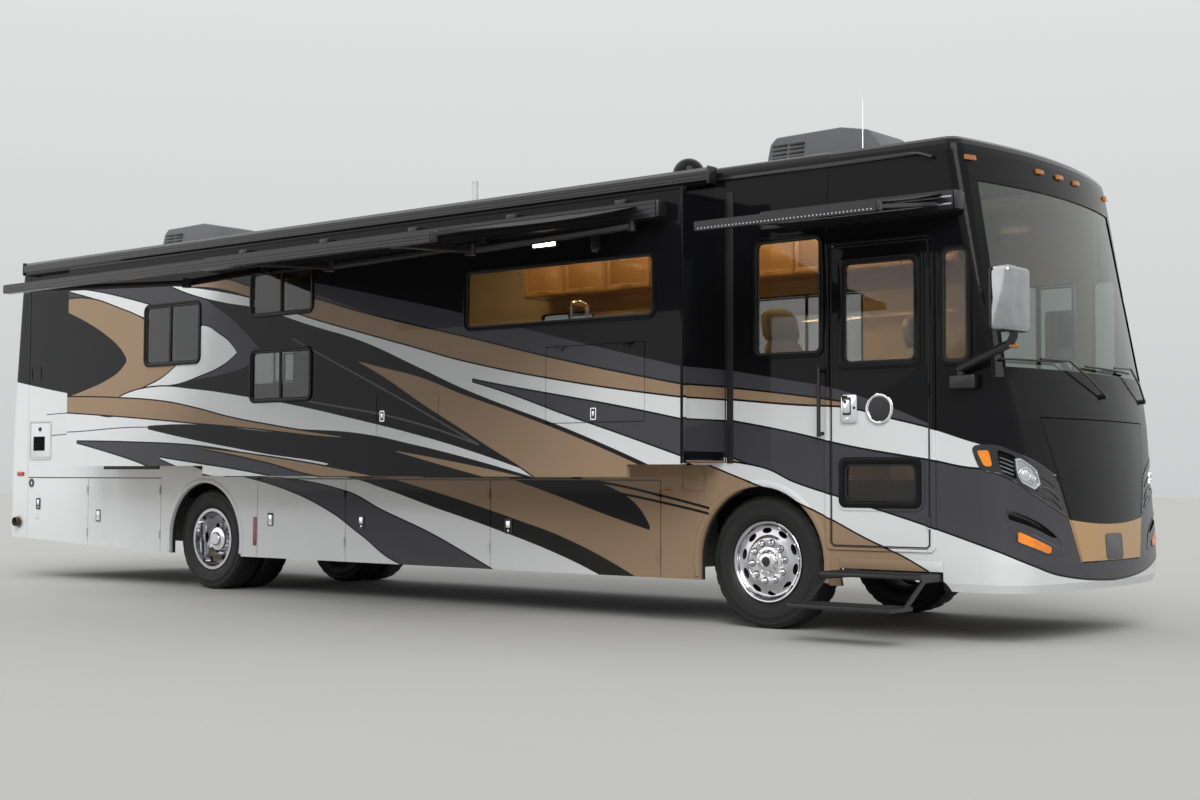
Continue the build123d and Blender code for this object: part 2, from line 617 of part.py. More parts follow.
# Baggage doors
for bays, side in ((RIGHT_BAYS, -1), (LEFT_BAYS, 1)):
    for name, bx0, bx1, z0, z1 in bays:
        with BuildPart() as bay_door:
            side_profile(
                (
                    (FRONT_AXLE_X + bx0, z0),
                    (FRONT_AXLE_X + bx1, z1),
                    (FRONT_AXLE_X + bx1, BAY_Z1),
                    (FRONT_AXLE_X + bx0, BAY_Z1),
                ),
                side * HALF_W, side * (HALF_W - SKIRT_T),
            )
            # Paddle latch near the rear edge
            side_panel(FRONT_AXLE_X + bx0 + 130, FRONT_AXLE_X + bx0 + 220, 640, 740, 12,
                       side * (HALF_W - 5), side * (HALF_W + 6))
            door_hinge(FRONT_AXLE_X + bx1, side, BAY_HINGE_Z)
        bay_door.part.label = name
        export_step(bay_door.part, "parts/" + name + ".step")

# Bay floors, partitions and inner walls
BAY_IN_Y = 470
BAY_OUT_Y = HALF_W - PANEL_T - 4
with BuildPart() as bays_lining:
    for side in (-1, 1):
        y0 = side * BAY_IN_Y
        y1 = side * BAY_OUT_Y
        block(FRONT_AXLE_X - 5740, FRONT_AXLE_X - 920, y0, y1, 400, 415)
        block(FRONT_AXLE_X - 5740, FRONT_AXLE_X - 920, y0, side * (BAY_IN_Y + 12), 415, 1040)
        bays = RIGHT_BAYS if side < 0 else LEFT_BAYS
        block(FRONT_AXLE_X - 5740, FRONT_AXLE_X - 5728, y0, y1, 415, 1040)
        for name, bx0, bx1, z0, z1 in bays[2:]:
            block(FRONT_AXLE_X + bx1 - 15, FRONT_AXLE_X + bx1 - 3, y0, y1, 415, 1040)
bays_lining.part.label = "bays_lining"
export_step(bays_lining.part, "parts/bays_lining.step")

# Chassis: two rails, crossmembers, receiver and mud guard
RAIL_Y = 405
RAIL_W = 60
RAIL_Z0 = 650
RAIL_Z1 = 880
RECEIVER_Z = 380
with BuildPart() as chassis_frame:
    for side in (-1, 1):
        block(FRONT_AXLE_X - 9780, FRONT_AXLE_X + 1700, side * RAIL_Y - RAIL_W / 2, side * RAIL_Y + RAIL_W / 2,
              RAIL_Z0, RAIL_Z1)
        block(FRONT_AXLE_X - 9780, FRONT_AXLE_X - 9700, side * RAIL_Y - RAIL_W / 2,
              side * RAIL_Y + RAIL_W / 2, RECEIVER_Z - 40, RAIL_Z0)
    for cross_x in (-9740, -5500, -4200, -2600, -1000, 1600):
        block(FRONT_AXLE_X + cross_x - 40, FRONT_AXLE_X + cross_x + 40, -RAIL_Y, RAIL_Y, 700, 830)
    block(FRONT_AXLE_X - 9780, FRONT_AXLE_X - 9700, -RAIL_Y, RAIL_Y, RECEIVER_Z - 40, RECEIVER_Z + 40)
    # Beams that carry the floor
    for cross_x in (-7900, -5500, -4200, -2600, -1000, 450, 1600):
        block(FRONT_AXLE_X + cross_x - 40, FRONT_AXLE_X + cross_x + 40, -BAY_IN_Y, BAY_IN_Y, 960,
              WAIST_Z - FLOOR_T)
        for side in (-1, 1):
            block(FRONT_AXLE_X + cross_x - 40, FRONT_AXLE_X + cross_x + 40, side * RAIL_Y - 30,
                  side * RAIL_Y + 30, RAIL_Z1, 960)
    # Hangers for the bays
    for cross_x in (-5500, -2600, -1000):
        block(FRONT_AXLE_X + cross_x - 30, FRONT_AXLE_X + cross_x + 30, -BAY_IN_Y, -RAIL_Y, 760, 820)
        block(FRONT_AXLE_X + cross_x - 30, FRONT_AXLE_X + cross_x + 30, RAIL_Y, BAY_IN_Y, 760, 820)
chassis_frame.part.label = "chassis_frame"
export_step(chassis_frame.part, "parts/chassis_frame.step")

# Towing receiver: square socket with a cross hole for its pin
RECEIVER_MOUTH_X = FRONT_AXLE_X - 10080
PIN_HOLE_R = 8.1
with BuildPart() as hitch_receiver:
    block(RECEIVER_MOUTH_X, FRONT_AXLE_X - 9780, -38, 38, RECEIVER_Z - 38, RECEIVER_Z + 38)
    block(RECEIVER_MOUTH_X, RECEIVER_MOUTH_X + 20, -44, 44, RECEIVER_Z - 44, RECEIVER_Z + 44)
    block(RECEIVER_MOUTH_X - 1, FRONT_AXLE_X - 9790, -25.6, 25.6, RECEIVER_Z - 25.6, RECEIVER_Z + 25.6,
          Mode.SUBTRACT)
    rod_y(RECEIVER_MOUTH_X + 64, RECEIVER_Z, PIN_HOLE_R, -50, 50, Mode.SUBTRACT)
hitch_receiver.part.label = "hitch_receiver"
export_step(hitch_receiver.part, "parts/hitch_receiver.step")

# Engine as one block, low under the bed platform
with BuildPart() as engine_block:
    block(FRONT_AXLE_X - 9640, FRONT_AXLE_X - 8560, -RAIL_Y + RAIL_W / 2, RAIL_Y - RAIL_W / 2, 560, 1430)
engine_block.part.label = "engine_block"
export_step(engine_block.part, "parts/engine_block.step")

# Axles
KINGPIN_R = 30
EYE_R = 55
EYE_Z0 = 430
EYE_Z1 = 530
SPINDLE_R = 45
with BuildPart() as front_axle:
    block(FRONT_AXLE_X - 50, FRONT_AXLE_X + 50, -KINGPIN_Y, KINGPIN_Y, EYE_Z0, EYE_Z1)
    for side in (-1, 1):
        rod_z(FRONT_AXLE_X, side * KINGPIN_Y, EYE_R, EYE_Z0, EYE_Z1)
        rod_z(FRONT_AXLE_X, side * KINGPIN_Y, KINGPIN_R + PIN_GAP, EYE_Z0 - 1, EYE_Z1 + 1, Mode.SUBTRACT)
        block(FRONT_AXLE_X - 50, FRONT_AXLE_X + 50, side * (KINGPIN_Y + EYE_R), side * (KINGPIN_Y + 100),
              EYE_Z0 - 1, EYE_Z1 + 1, Mode.SUBTRACT)
        rod_z(FRONT_AXLE_X, side * RAIL_Y, 110, EYE_Z1, RAIL_Z0)
front_axle.part.label = "front_axle"
export_step(front_axle.part, "parts/front_axle.step")

TYRE_MID_Y = TYRE_OUTER_Y - TYRE_W / 2
TWIN_MID_Y = TYRE_MID_Y - TWIN_PITCH
AXLE_TUBE_R = 65
with BuildPart() as rear_axle:
    rod_y(REAR_AXLE_X, TYRE_R, AXLE_TUBE_R, -900, 900)
    rod_y(REAR_AXLE_X, TYRE_R, 190, -150, 150)
    rod_x(0, TYRE_R, 110, REAR_AXLE_X - 330, REAR_AXLE_X)
    rod_x(0, TYRE_R, 50, FRONT_AXLE_X - 8200, REAR_AXLE_X - 300)
    block(FRONT_AXLE_X - 8560, FRONT_AXLE_X - 8180, -210, 210, 400, 860)
    for side in (-1, 1):
        rod_z(REAR_AXLE_X, side * RAIL_Y, 90, TYRE_R, RAIL_Z0)
rear_axle.part.label = "rear_axle"
export_step(rear_axle.part, "parts/rear_axle.step")


def tyre_ring(x, mid_y):
    # Turned tyre section: beads, bulged walls, rounded shoulders
    half = TYRE_W / 2
    with BuildSketch(Plane(origin=(x, mid_y, TYRE_R), x_dir=(0, 0, 1), z_dir=(1, 0, 0))) as section:
        with BuildLine():
            Line((RIM_SEAT_R + 0.3, -half * 0.69), (RIM_SEAT_R + 0.3, half * 0.69))
            ThreePointArc((RIM_SEAT_R + 0.3, half * 0.69), (385, half), (462, half * 0.90))
            ThreePointArc((462, half * 0.90), (480, half * 0.86), (TYRE_R, half * 0.72))
            Line((TYRE_R, half * 0.72), (TYRE_R, -half * 0.72))
            ThreePointArc((TYRE_R, -half * 0.72), (480, -half * 0.86), (462, -half * 0.90))
            ThreePointArc((462, -half * 0.90), (385, -half), (RIM_SEAT_R + 0.3, -half * 0.69))
        make_face()
    revolve(section.sketch, axis=Axis((x, 0, TYRE_R), (0, 1, 0)))


def rim_shell(x, mid_y, side, disc_out, cap_out):
    # Barrel with flanges, disc with ten hand holes and a hub cap; side is the outward sign of Y
    rod_y(x, TYRE_R, RIM_SEAT_R, mid_y - 118, mid_y + 118)
    rod_y(x, TYRE_R, RIM_R, mid_y - 124, mid_y - 112)
    rod_y(x, TYRE_R, RIM_R, mid_y + 112, mid_y + 124)
    rod_y(x, TYRE_R, RIM_SEAT_R - 14, mid_y - 130, mid_y + 130, Mode.SUBTRACT)
    disc_y = mid_y + side * disc_out
    rod_y(x, TYRE_R, RIM_SEAT_R - 10, disc_y, disc_y + side * 14)
    for k in range(10):
        angle = radians(36 * k)
        rod_y(x + 205 * cos(angle), TYRE_R + 205 * sin(angle), 27, disc_y - side, disc_y + side * 15,
              Mode.SUBTRACT)
    rod_y(x, TYRE_R, 112, disc_y + side * 14, mid_y + side * cap_out)


STEER_NAMES = (("right", -1), ("left", 1))
for name, side in STEER_NAMES:
    with BuildPart() as front_tyre:
        tyre_ring(FRONT_AXLE_X, side * TYRE_MID_Y)
    front_tyre.part.label = "front_" + name + "_tyre"
    export_step(front_tyre.part, "parts/front_" + name + "_tyre.step")
    with BuildPart() as front_rim:
        rim_shell(FRONT_AXLE_X, side * TYRE_MID_Y, side, 70, 160)
        rod_y(FRONT_AXLE_X, TYRE_R, SPINDLE_R + PIN_GAP, side * (TYRE_MID_Y + 60), side * (TYRE_MID_Y + 120),
              Mode.SUBTRACT)
    front_rim.part.label = "front_" + name + "_rim"
    export_step(front_rim.part, "parts/front_" + name + "_rim.step")
    with BuildPart() as knuckle:
        rod_z(FRONT_AXLE_X, side * KINGPIN_Y, KINGPIN_R, EYE_Z0 - 45, EYE_Z1 + 45)
        for z0, z1 in ((EYE_Z0 - 45, EYE_Z0 - 6), (EYE_Z1 + 6, EYE_Z1 + 45)):
            block(FRONT_AXLE_X - 48, FRONT_AXLE_X + 48, side * (KINGPIN_Y - 38), side * (KINGPIN_Y + 85), z0, z1)
        block(FRONT_AXLE_X - 48, FRONT_AXLE_X + 48, side * (KINGPIN_Y + EYE_R + 6), side * (KINGPIN_Y + 85),
              EYE_Z0 - 45, EYE_Z1 + 45)
        rod_y(FRONT_AXLE_X, TYRE_R, SPINDLE_R, side * (KINGPIN_Y + 80), side * (TYRE_MID_Y + 115))
        rod_y(FRONT_AXLE_X, TYRE_R, 205, side * (KINGPIN_Y + 85), side * (TYRE_MID_Y + 48))
    knuckle.part.label = "front_" + name + "_knuckle"
    export_step(knuckle.part, "parts/front_" + name + "_knuckle.step")
    with BuildPart() as rear_tyres:
        tyre_ring(REAR_AXLE_X, side * TYRE_MID_Y)
        tyre_ring(REAR_AXLE_X, side * TWIN_MID_Y)
    rear_tyres.part.label = "rear_" + name + "_tyres"
    export_step(rear_tyres.part, "parts/rear_" + name + "_tyres.step")
    with BuildPart() as rear_rims:
        rim_shell(REAR_AXLE_X, side * TYRE_MID_Y, side, -84, 60)
        rod_y(REAR_AXLE_X, TYRE_R, 150, side * (TWIN_MID_Y + 70), side * (TYRE_MID_Y - 80))
        rod_y(REAR_AXLE_X, TYRE_R, RIM_SEAT_R, side * (TWIN_MID_Y - 118), side * (TWIN_MID_Y + 118))
        rod_y(REAR_AXLE_X, TYRE_R, RIM_R, side * (TWIN_MID_Y - 124), side * (TWIN_MID_Y - 112))
        rod_y(REAR_AXLE_X, TYRE_R, RIM_R, side * (TWIN_MID_Y + 112), side * (TWIN_MID_Y + 124))
        rod_y(REAR_AXLE_X, TYRE_R, RIM_SEAT_R - 14, side * (TWIN_MID_Y - 130), side * (TWIN_MID_Y + 70),
              Mode.SUBTRACT)
        rod_y(REAR_AXLE_X, TYRE_R, AXLE_TUBE_R + 10, side * (TWIN_MID_Y - 130), side * 850, Mode.SUBTRACT)
        rod_y(REAR_AXLE_X, TYRE_R, AXLE_TUBE_R + PIN_GAP, side * 849, side * 910, Mode.SUBTRACT)
    rear_rims.part.label = "rear_" + name + "_rims"
    export_step(rear_rims.part, "parts/rear_" + name + "_rims.step")

# Slide-out room: outer face with stepped lower edge, and the box behind it
SLIDE_HATCH_PIN_Y = -SLIDE_OUT_Y - HINGE_OUT
SLIDE_HATCH_PIN_Z = 2097 - HINGE_IN
SLIDE_HATCH_HINGE_X = (FRONT_AXLE_X - 1450, FRONT_AXLE_X - 790)
SERVICE_HATCH = (-3505, -2765, 1446, 1785)
GROOVE = 6
with BuildPart() as slide_room:
    side_profile(
        (
            (SLIDE_X0, SLIDE_Z_END),
            (SLIDE_LOW_X0, SLIDE_Z_END),
            (SLIDE_LOW_X0, SLIDE_Z_LOW),
            (SLIDE_LOW_X1, SLIDE_Z_LOW),
            (SLIDE_LOW_X1, SLIDE_Z_END),
            (SLIDE_X1, SLIDE_Z_END),
            (SLIDE_X1, SLIDE_TOP_Z),
            (SLIDE_X0, SLIDE_TOP_Z),
        ),
        -SLIDE_OUT_Y, -SLIDE_OUT_Y + SLIDE_FACE_T,
    )
    block(SLIDE_X0 + SLIDE_LIP, SLIDE_X1 - SLIDE_LIP, -SLIDE_OUT_Y + SLIDE_FACE_T, -SLIDE_BOX_Y,
          SLIDE_BOX_Z0, SLIDE_BOX_Z1)
    block(SLIDE_X0 + SLIDE_LIP + SLIDE_BOX_T, SLIDE_X1 - SLIDE_LIP - SLIDE_BOX_T,
          -SLIDE_OUT_Y + SLIDE_FACE_T, -SLIDE_BOX_Y + 1,
          SLIDE_BOX_Z0 + SLIDE_BOX_T, SLIDE_BOX_Z1 - SLIDE_BOX_T, Mode.SUBTRACT)
    for wx0, wx1, wz0, wz1 in SLIDE_WINDOWS:
        side_panel(FRONT_AXLE_X + wx0, FRONT_AXLE_X + wx1, wz0, wz1, CORNER_R,
                   -SLIDE_OUT_Y - 1, -SLIDE_OUT_Y + SLIDE_FACE_T + 1, Mode.SUBTRACT)
    # Recess for the hatch
    block(FRONT_AXLE_X - 1605, FRONT_AXLE_X - 630, -SLIDE_OUT_Y - 1, -SLIDE_OUT_Y + 22, 1512, 2104,
          Mode.SUBTRACT)
    # Small service hatch as a panel inside a groove
    sx0, sx1, sz0, sz1 = SERVICE_HATCH
    side_panel(FRONT_AXLE_X + sx0, FRONT_AXLE_X + sx1, sz0, sz1, 20, -SLIDE_OUT_Y - 1, -SLIDE_OUT_Y + GROOVE,
               Mode.SUBTRACT)
    side_panel(FRONT_AXLE_X + sx0 + GROOVE, FRONT_AXLE_X + sx1 - GROOVE, sz0 + GROOVE, sz1 - GROOVE, 16,
               -SLIDE_OUT_Y, -SLIDE_OUT_Y + GROOVE + 1)
    for hinge_x in SLIDE_HATCH_HINGE_X:
        rod_x(SLIDE_HATCH_PIN_Y, SLIDE_HATCH_PIN_Z, HINGE_PIN_R, hinge_x - HINGE_END, hinge_x + HINGE_END)
        for end in (-1, 1):
            x0 = hinge_x + end * (HINGE_HALF + RUN_GAP)
            x1 = hinge_x + end * HINGE_END
            rod_x(SLIDE_HATCH_PIN_Y, SLIDE_HATCH_PIN_Z, HINGE_R, x0, x1)
            block(x0, x1, SLIDE_HATCH_PIN_Y, -SLIDE_OUT_Y + 15, SLIDE_HATCH_PIN_Z + HINGE_IN + 2.5,
                  SLIDE_HATCH_PIN_Z + HINGE_IN + 7.5)
slide_room.part.label = "slide_room"
export_step(slide_room.part, "parts/slide_room.step")

# Lift-up hatch on the slide-out's face
with BuildPart() as slide_hatch:
    block(FRONT_AXLE_X - 1598, FRONT_AXLE_X - 637, -SLIDE_OUT_Y, -SLIDE_OUT_Y + 14, 1519, 2097)
    for hinge_x in SLIDE_HATCH_HINGE_X:
        rod_x(SLIDE_HATCH_PIN_Y, SLIDE_HATCH_PIN_Z, HINGE_R, hinge_x - HINGE_HALF, hinge_x + HINGE_HALF)
        block(hinge_x - HINGE_HALF, hinge_x + HINGE_HALF, SLIDE_HATCH_PIN_Y, -SLIDE_OUT_Y,
              SLIDE_HATCH_PIN_Z - 26, SLIDE_HATCH_PIN_Z)
        rod_x(SLIDE_HATCH_PIN_Y, SLIDE_HATCH_PIN_Z, HINGE_PIN_R + PIN_GAP, hinge_x - HINGE_HALF - 1,
              hinge_x + HINGE_HALF + 1, Mode.SUBTRACT)
slide_hatch.part.label = "slide_hatch"
export_step(slide_hatch.part, "parts/slide_hatch.step")

# Panes and frames on the slide-out
with BuildPart() as slide_glass:
    for wx0, wx1, wz0, wz1 in SLIDE_WINDOWS:
        side_panel(FRONT_AXLE_X + wx0 + 0.4, FRONT_AXLE_X + wx1 - 0.4, wz0 + 0.4, wz1 - 0.4, CORNER_R,
                   -SLIDE_OUT_Y + PANE_IN, -SLIDE_OUT_Y + PANE_IN + PANE_T)
slide_glass.part.label = "slide_glass"
export_step(slide_glass.part, "parts/slide_glass.step")

with BuildPart() as slide_frames:
    for wx0, wx1, wz0, wz1 in SLIDE_WINDOWS:
        frame_ring(FRONT_AXLE_X + wx0, FRONT_AXLE_X + wx1, wz0, wz1, -SLIDE_OUT_Y, -1)
        side_panel(FRONT_AXLE_X + wx0, FRONT_AXLE_X + wx1, wz0, wz1, CORNER_R,
                   -SLIDE_OUT_Y - FRAME_PROUD - 1, -SLIDE_OUT_Y + 1, Mode.SUBTRACT)
slide_frames.part.label = "slide_frames"
export_step(slide_frames.part, "parts/slide_frames.step")

# Case of the slide-out's topper, along the roof edge
TOPPER_X0 = FRONT_AXLE_X - 9690
TOPPER_X1 = FRONT_AXLE_X - 390
TOPPER_OUT = 110
with BuildPart() as topper_case:
    with BuildSketch(Plane(origin=(TOPPER_X0, 0, 0), x_dir=(0, 1, 0), z_dir=(1, 0, 0))):
        with BuildLine():
            Polyline(
                (-HALF_W, 3300),
                (-HALF_W - TOPPER_OUT + 30, 3300),
                (-HALF_W - TOPPER_OUT, 3330),
                (-HALF_W - TOPPER_OUT, 3400),
                (-HALF_W - TOPPER_OUT + 40, 3432),
                (-HALF_W, 3432),
                close=True,
            )
        make_face()
    extrude(amount=TOPPER_X1 - TOPPER_X0)
topper_case.part.label = "topper_case"
export_step(topper_case.part, "parts/topper_case.step")

# Awning case on the slide-out, and lead rail
AWNING_X0 = FRONT_AXLE_X - 5700
AWNING_X1 = FRONT_AXLE_X - 440
AWNING_OUT_Y = 3985
AWNING_RAIL_Z = 2625
AWNING_RAIL_END = 150
CANOPY_END = 180
with BuildPart() as awning_case:
    block(AWNING_X0, AWNING_X1, -SLIDE_OUT_Y - 125, -SLIDE_OUT_Y, 2985, 3110)
    block(AWNING_X0 + AWNING_RAIL_END, AWNING_X1 - AWNING_RAIL_END, -AWNING_OUT_Y - 30, -AWNING_OUT_Y + 30,
          AWNING_RAIL_Z - 35, AWNING_RAIL_Z + 35)
awning_case.part.label = "awning_case"
export_step(awning_case.part, "parts/awning_case.step")

# Folding arms: shoulder, elbow and hand of each
AWNING_ARMS = (
    (-700, -1340, -1010),
    (-2210, -2850, -2520),
    (-4960, -4640, -5330),
)
SHOULDER_Y = -SLIDE_OUT_Y - 70
ELBOW_Y = -2880
HAND_Y = -AWNING_OUT_Y + 56.3
with BuildPart() as awning_arms:
    for shoulder_x, elbow_x, hand_x in AWNING_ARMS:
        shoulder = (FRONT_AXLE_X + shoulder_x, SHOULDER_Y, 2946.7)
        elbow = (FRONT_AXLE_X + elbow_x, ELBOW_Y, 2715)
        hand = (FRONT_AXLE_X + hand_x, HAND_Y, 2615)
        strut(shoulder, elbow, 46, 58)
        strut(elbow, hand, 38, 48)
        with Locations(shoulder, elbow):
            Cylinder(38, 76)
        with Locations(hand):
            Cylinder(26, 52)
awning_arms.part.label = "awning_arms"
export_step(awning_arms.part, "parts/awning_arms.step")

# Awning cloth as a flat panel from case to rail
with BuildPart() as awning_canopy:
    with BuildSketch(Plane(origin=(AWNING_X0 + CANOPY_END, 0, 0), x_dir=(0, 1, 0), z_dir=(1, 0, 0))):
        with BuildLine():
            Polyline(
                (-SLIDE_OUT_Y - 125.3, 3080),
                (-AWNING_OUT_Y, AWNING_RAIL_Z + 38.3),
                (-AWNING_OUT_Y, AWNING_RAIL_Z + 35.3),
                (-SLIDE_OUT_Y - 125.3, 3077),
                close=True,
            )
        make_face()
    extrude(amount=AWNING_X1 - AWNING_X0 - 2 * CANOPY_END)
awning_canopy.part.label = "awning_canopy"
export_step(awning_canopy.part, "parts/awning_canopy.step")

# Kitchen unit inside the slide-out
with BuildPart() as kitchen_unit:
    block(FRONT_AXLE_X - 3000, FRONT_AXLE_X - 450, -SLIDE_OUT_Y + SLIDE_FACE_T + SEAT_GAP, -1160,
          SLIDE_BOX_Z0 + SLIDE_BOX_T + SEAT_GAP, 2150)
    block(FRONT_AXLE_X - 3000, FRONT_AXLE_X - 450, -SLIDE_OUT_Y + SLIDE_FACE_T + SEAT_GAP, -1400, 2800,
          SLIDE_BOX_Z1 - SLIDE_BOX_T - SEAT_GAP)
    block(FRONT_AXLE_X - 1700, FRONT_AXLE_X - 1150, -1640, -1280, 2000, 2151, Mode.SUBTRACT)
    strut((FRONT_AXLE_X - 1425, -1690, 2150), (FRONT_AXLE_X - 1425, -1690, 2430), 30, 30)
    strut((FRONT_AXLE_X - 1425, -1700, 2430), (FRONT_AXLE_X - 1425, -1480, 2430), 26, 26)
    strut((FRONT_AXLE_X - 1425, -1490, 2440), (FRONT_AXLE_X - 1425, -1490, 2340), 26, 26)
kitchen_unit.part.label = "kitchen_unit"
export_step(kitchen_unit.part, "parts/kitchen_unit.step")

# Fixed panes and frames of walls and cap: x0, x1, z0, z1, side
FIXED_WINDOWS = [WALL_WINDOW + (-1,), CAP_WINDOW + (-1,), CAP_WINDOW + (1,), DRIVER_WINDOW + (1,)]
for window in LEFT_WINDOWS:
    FIXED_WINDOWS.append(window + (1,))
with BuildPart() as side_glass:
    for wx0, wx1, wz0, wz1, side in FIXED_WINDOWS:
        side_panel(FRONT_AXLE_X + wx0 + 0.4, FRONT_AXLE_X + wx1 - 0.4, wz0 + 0.4, wz1 - 0.4, CORNER_R,
                   side * (HALF_W - PANE_IN), side * (HALF_W - PANE_IN - PANE_T))
side_glass.part.label = "side_glass"
export_step(side_glass.part, "parts/side_glass.step")

with BuildPart() as window_frames:
    for wx0, wx1, wz0, wz1, side in FIXED_WINDOWS:
        frame_ring(FRONT_AXLE_X + wx0, FRONT_AXLE_X + wx1, wz0, wz1, side * HALF_W, side)
        side_panel(FRONT_AXLE_X + wx0, FRONT_AXLE_X + wx1, wz0, wz1, CORNER_R,
                   side * (HALF_W - 1), side * (HALF_W + FRAME_PROUD + 1), Mode.SUBTRACT)
window_frames.part.label = "window_frames"
export_step(window_frames.part, "parts/window_frames.step")

# Entry door with latch plate and round plate
with BuildPart() as entry_door:
    block(DOOR_X0, DOOR_X1, -HALF_W, -HALF_W + DOOR_T, DOOR_Z0, DOOR_Z1)
    for wx0, wx1, wz0, wz1 in DOOR_WINDOWS:
        side_panel(FRONT_AXLE_X + wx0, FRONT_AXLE_X + wx1, wz0, wz1, CORNER_R,
                   -HALF_W - 1, -HALF_W + DOOR_T + 1, Mode.SUBTRACT)
        frame_ring(FRONT_AXLE_X + wx0, FRONT_AXLE_X + wx1, wz0, wz1, -HALF_W, -1)
        side_panel(FRONT_AXLE_X + wx0, FRONT_AXLE_X + wx1, wz0, wz1, CORNER_R,
                   -HALF_W - FRAME_PROUD - 1, -HALF_W + 1, Mode.SUBTRACT)
    side_panel(FRONT_AXLE_X + 725, FRONT_AXLE_X + 820, 1500, 1670, 15, -HALF_W - 14, -HALF_W)
    rod_y(FRONT_AXLE_X + 1010, 1586, 90, -HALF_W - 10, -HALF_W)
    door_hinge(DOOR_X1, -1, DOOR_HINGE_Z)
entry_door.part.label = "entry_door"
export_step(entry_door.part, "parts/entry_door.step")

with BuildPart() as entry_door_glass:
    for wx0, wx1, wz0, wz1 in DOOR_WINDOWS:
        side_panel(FRONT_AXLE_X + wx0 + 0.4, FRONT_AXLE_X + wx1 - 0.4, wz0 + 0.4, wz1 - 0.4, CORNER_R,
                   -HALF_W + PANE_IN, -HALF_W + PANE_IN + PANE_T)
entry_door_glass.part.label = "entry_door_glass"
export_step(entry_door_glass.part, "parts/entry_door_glass.step")

# Grab handle beside the door
with BuildPart() as grab_handle:
    handle_x = FRONT_AXLE_X + 545
    rod_z(handle_x, -HALF_W - 55, 14, 1395, 1890)
    for handle_z in (1420, 1865):
        rod_y(handle_x, handle_z, 13, -HALF_W - 55, -HALF_W)
grab_handle.part.label = "grab_handle"
export_step(grab_handle.part, "parts/grab_handle.step")

# Entry steps, let down
with BuildPart() as entry_steps:
    block(STEP_X0, STEP_X1, -1500, -1210, 430, 460)
    block(STEP_X0, STEP_X1, -1900, -1610, 235, 262)
    for step_x in (STEP_X0, STEP_X1 - 20):
        side_x = step_x + 10
        strut((side_x, -1120, 430), (side_x, -1480, 430), 20, 50)
        strut((side_x, -1430, 430), (side_x, -1700, 245), 20, 40)
        block(step_x, step_x + 20, -1178, -1000, 405, 600)
    block(STEP_X0, STEP_X1, -1100, -1000, 600 - 1, 632 - SEAT_GAP)
entry_steps.part.label = "entry_steps"
export_step(entry_steps.part, "parts/entry_steps.step")

# Awning over the door: case, rail and two arms
DOOR_AWNING_X0 = FRONT_AXLE_X + 110
DOOR_AWNING_X1 = FRONT_AXLE_X + 1650
DOOR_AWNING_Y = 2180
with BuildPart() as door_awning:
    block(DOOR_AWNING_X0, DOOR_AWNING_X1, -HALF_W - 125, -HALF_W, 2905, 3035)
    block(DOOR_AWNING_X0 + 40, DOOR_AWNING_X1 - 80, -DOOR_AWNING_Y - 30, -DOOR_AWNING_Y + 30, 2793, 2858)
    for arm_x in (DOOR_AWNING_X0 + 120, DOOR_AWNING_X1 - 120):
        strut((arm_x, -HALF_W - 100, 2950), (arm_x, -DOOR_AWNING_Y, 2825), 26, 34)
door_awning.part.label = "door_awning"
export_step(door_awning.part, "parts/door_awning.step")

with BuildPart() as door_canopy:
    with BuildSketch(Plane(origin=(DOOR_AWNING_X0 + 50, 0, 0), x_dir=(0, 1, 0), z_dir=(1, 0, 0))):
        with BuildLine():
            Polyline(
                (-HALF_W - 125.3, 3020),
                (-DOOR_AWNING_Y, 2861.3),
                (-DOOR_AWNING_Y, 2858.3),
                (-HALF_W - 125.3, 3017),
                close=True,
            )
        make_face()
    extrude(amount=DOOR_AWNING_X1 - DOOR_AWNING_X0 - 140)
door_canopy.part.label = "door_canopy"
export_step(door_canopy.part, "parts/door_canopy.step")

# Mirrors on long arms, the left one folded back: side, end of arm, half lengths of the head
MIRROR_HEADS = (
    (-1, (FRONT_AXLE_X + 2130, -1440), 50, 135),
    (1, (FRONT_AXLE_X + 1170, 1400), 135, 50),
)
MIRROR_Z0 = 2045
MIRROR_Z1 = 2470
with BuildPart() as mirrors:
    for side, (end_x, end_y), half_x, half_y in MIRROR_HEADS:
        lean_x = 10 if side < 0 else -10
        block(FRONT_AXLE_X + 1580, FRONT_AXLE_X + 1770, side * (HALF_W + 0.3), side * (HALF_W + 80), 1700, 1800)
        strut((FRONT_AXLE_X + 1660, side * (HALF_W + 50), 1780), (FRONT_AXLE_X + 1660, side * (HALF_W + 60), 1850),
              60, 60)
        strut((FRONT_AXLE_X + 1650, side * (HALF_W + 60), 1830), (end_x, end_y, 1985), 60, 75)
        strut((end_x - lean_x, end_y, 1960), (end_x + lean_x, end_y, 2100), 50, 55)
        block(end_x + lean_x - half_x, end_x + lean_x + half_x, end_y - half_y, end_y + half_y,
              MIRROR_Z0, MIRROR_Z1)
mirrors.part.label = "mirrors"
export_step(mirrors.part, "parts/mirrors.step")

# Wipers on the windshield: pivot, arm end, blade ends as (y, z)
WIPERS = (
    ((-40, 1690), (-500, 1925), (-1050, 1900), (-430, 1915)),
    ((960, 1690), (600, 1925), (-180, 1900), (640, 1910)),
)


def on_nose(y, z, out):
    # Point on the windshield's wide arc, pushed out along X
    rows = [row for row in CAP_ROWS if row[0] <= z]
    above = [row for row in CAP_ROWS if row[0] > z]
    z0, nose0 = rows[-1][0], rows[-1][1]
    z1, nose1 = above[0][0], above[0][1]
    nose = nose0 + (nose1 - nose0) * (z - z0) / (z1 - z0)
    return (FRONT_AXLE_X + nose - NOSE_ARC_R + sqrt(NOSE_ARC_R ** 2 - y ** 2) + out, y, z)


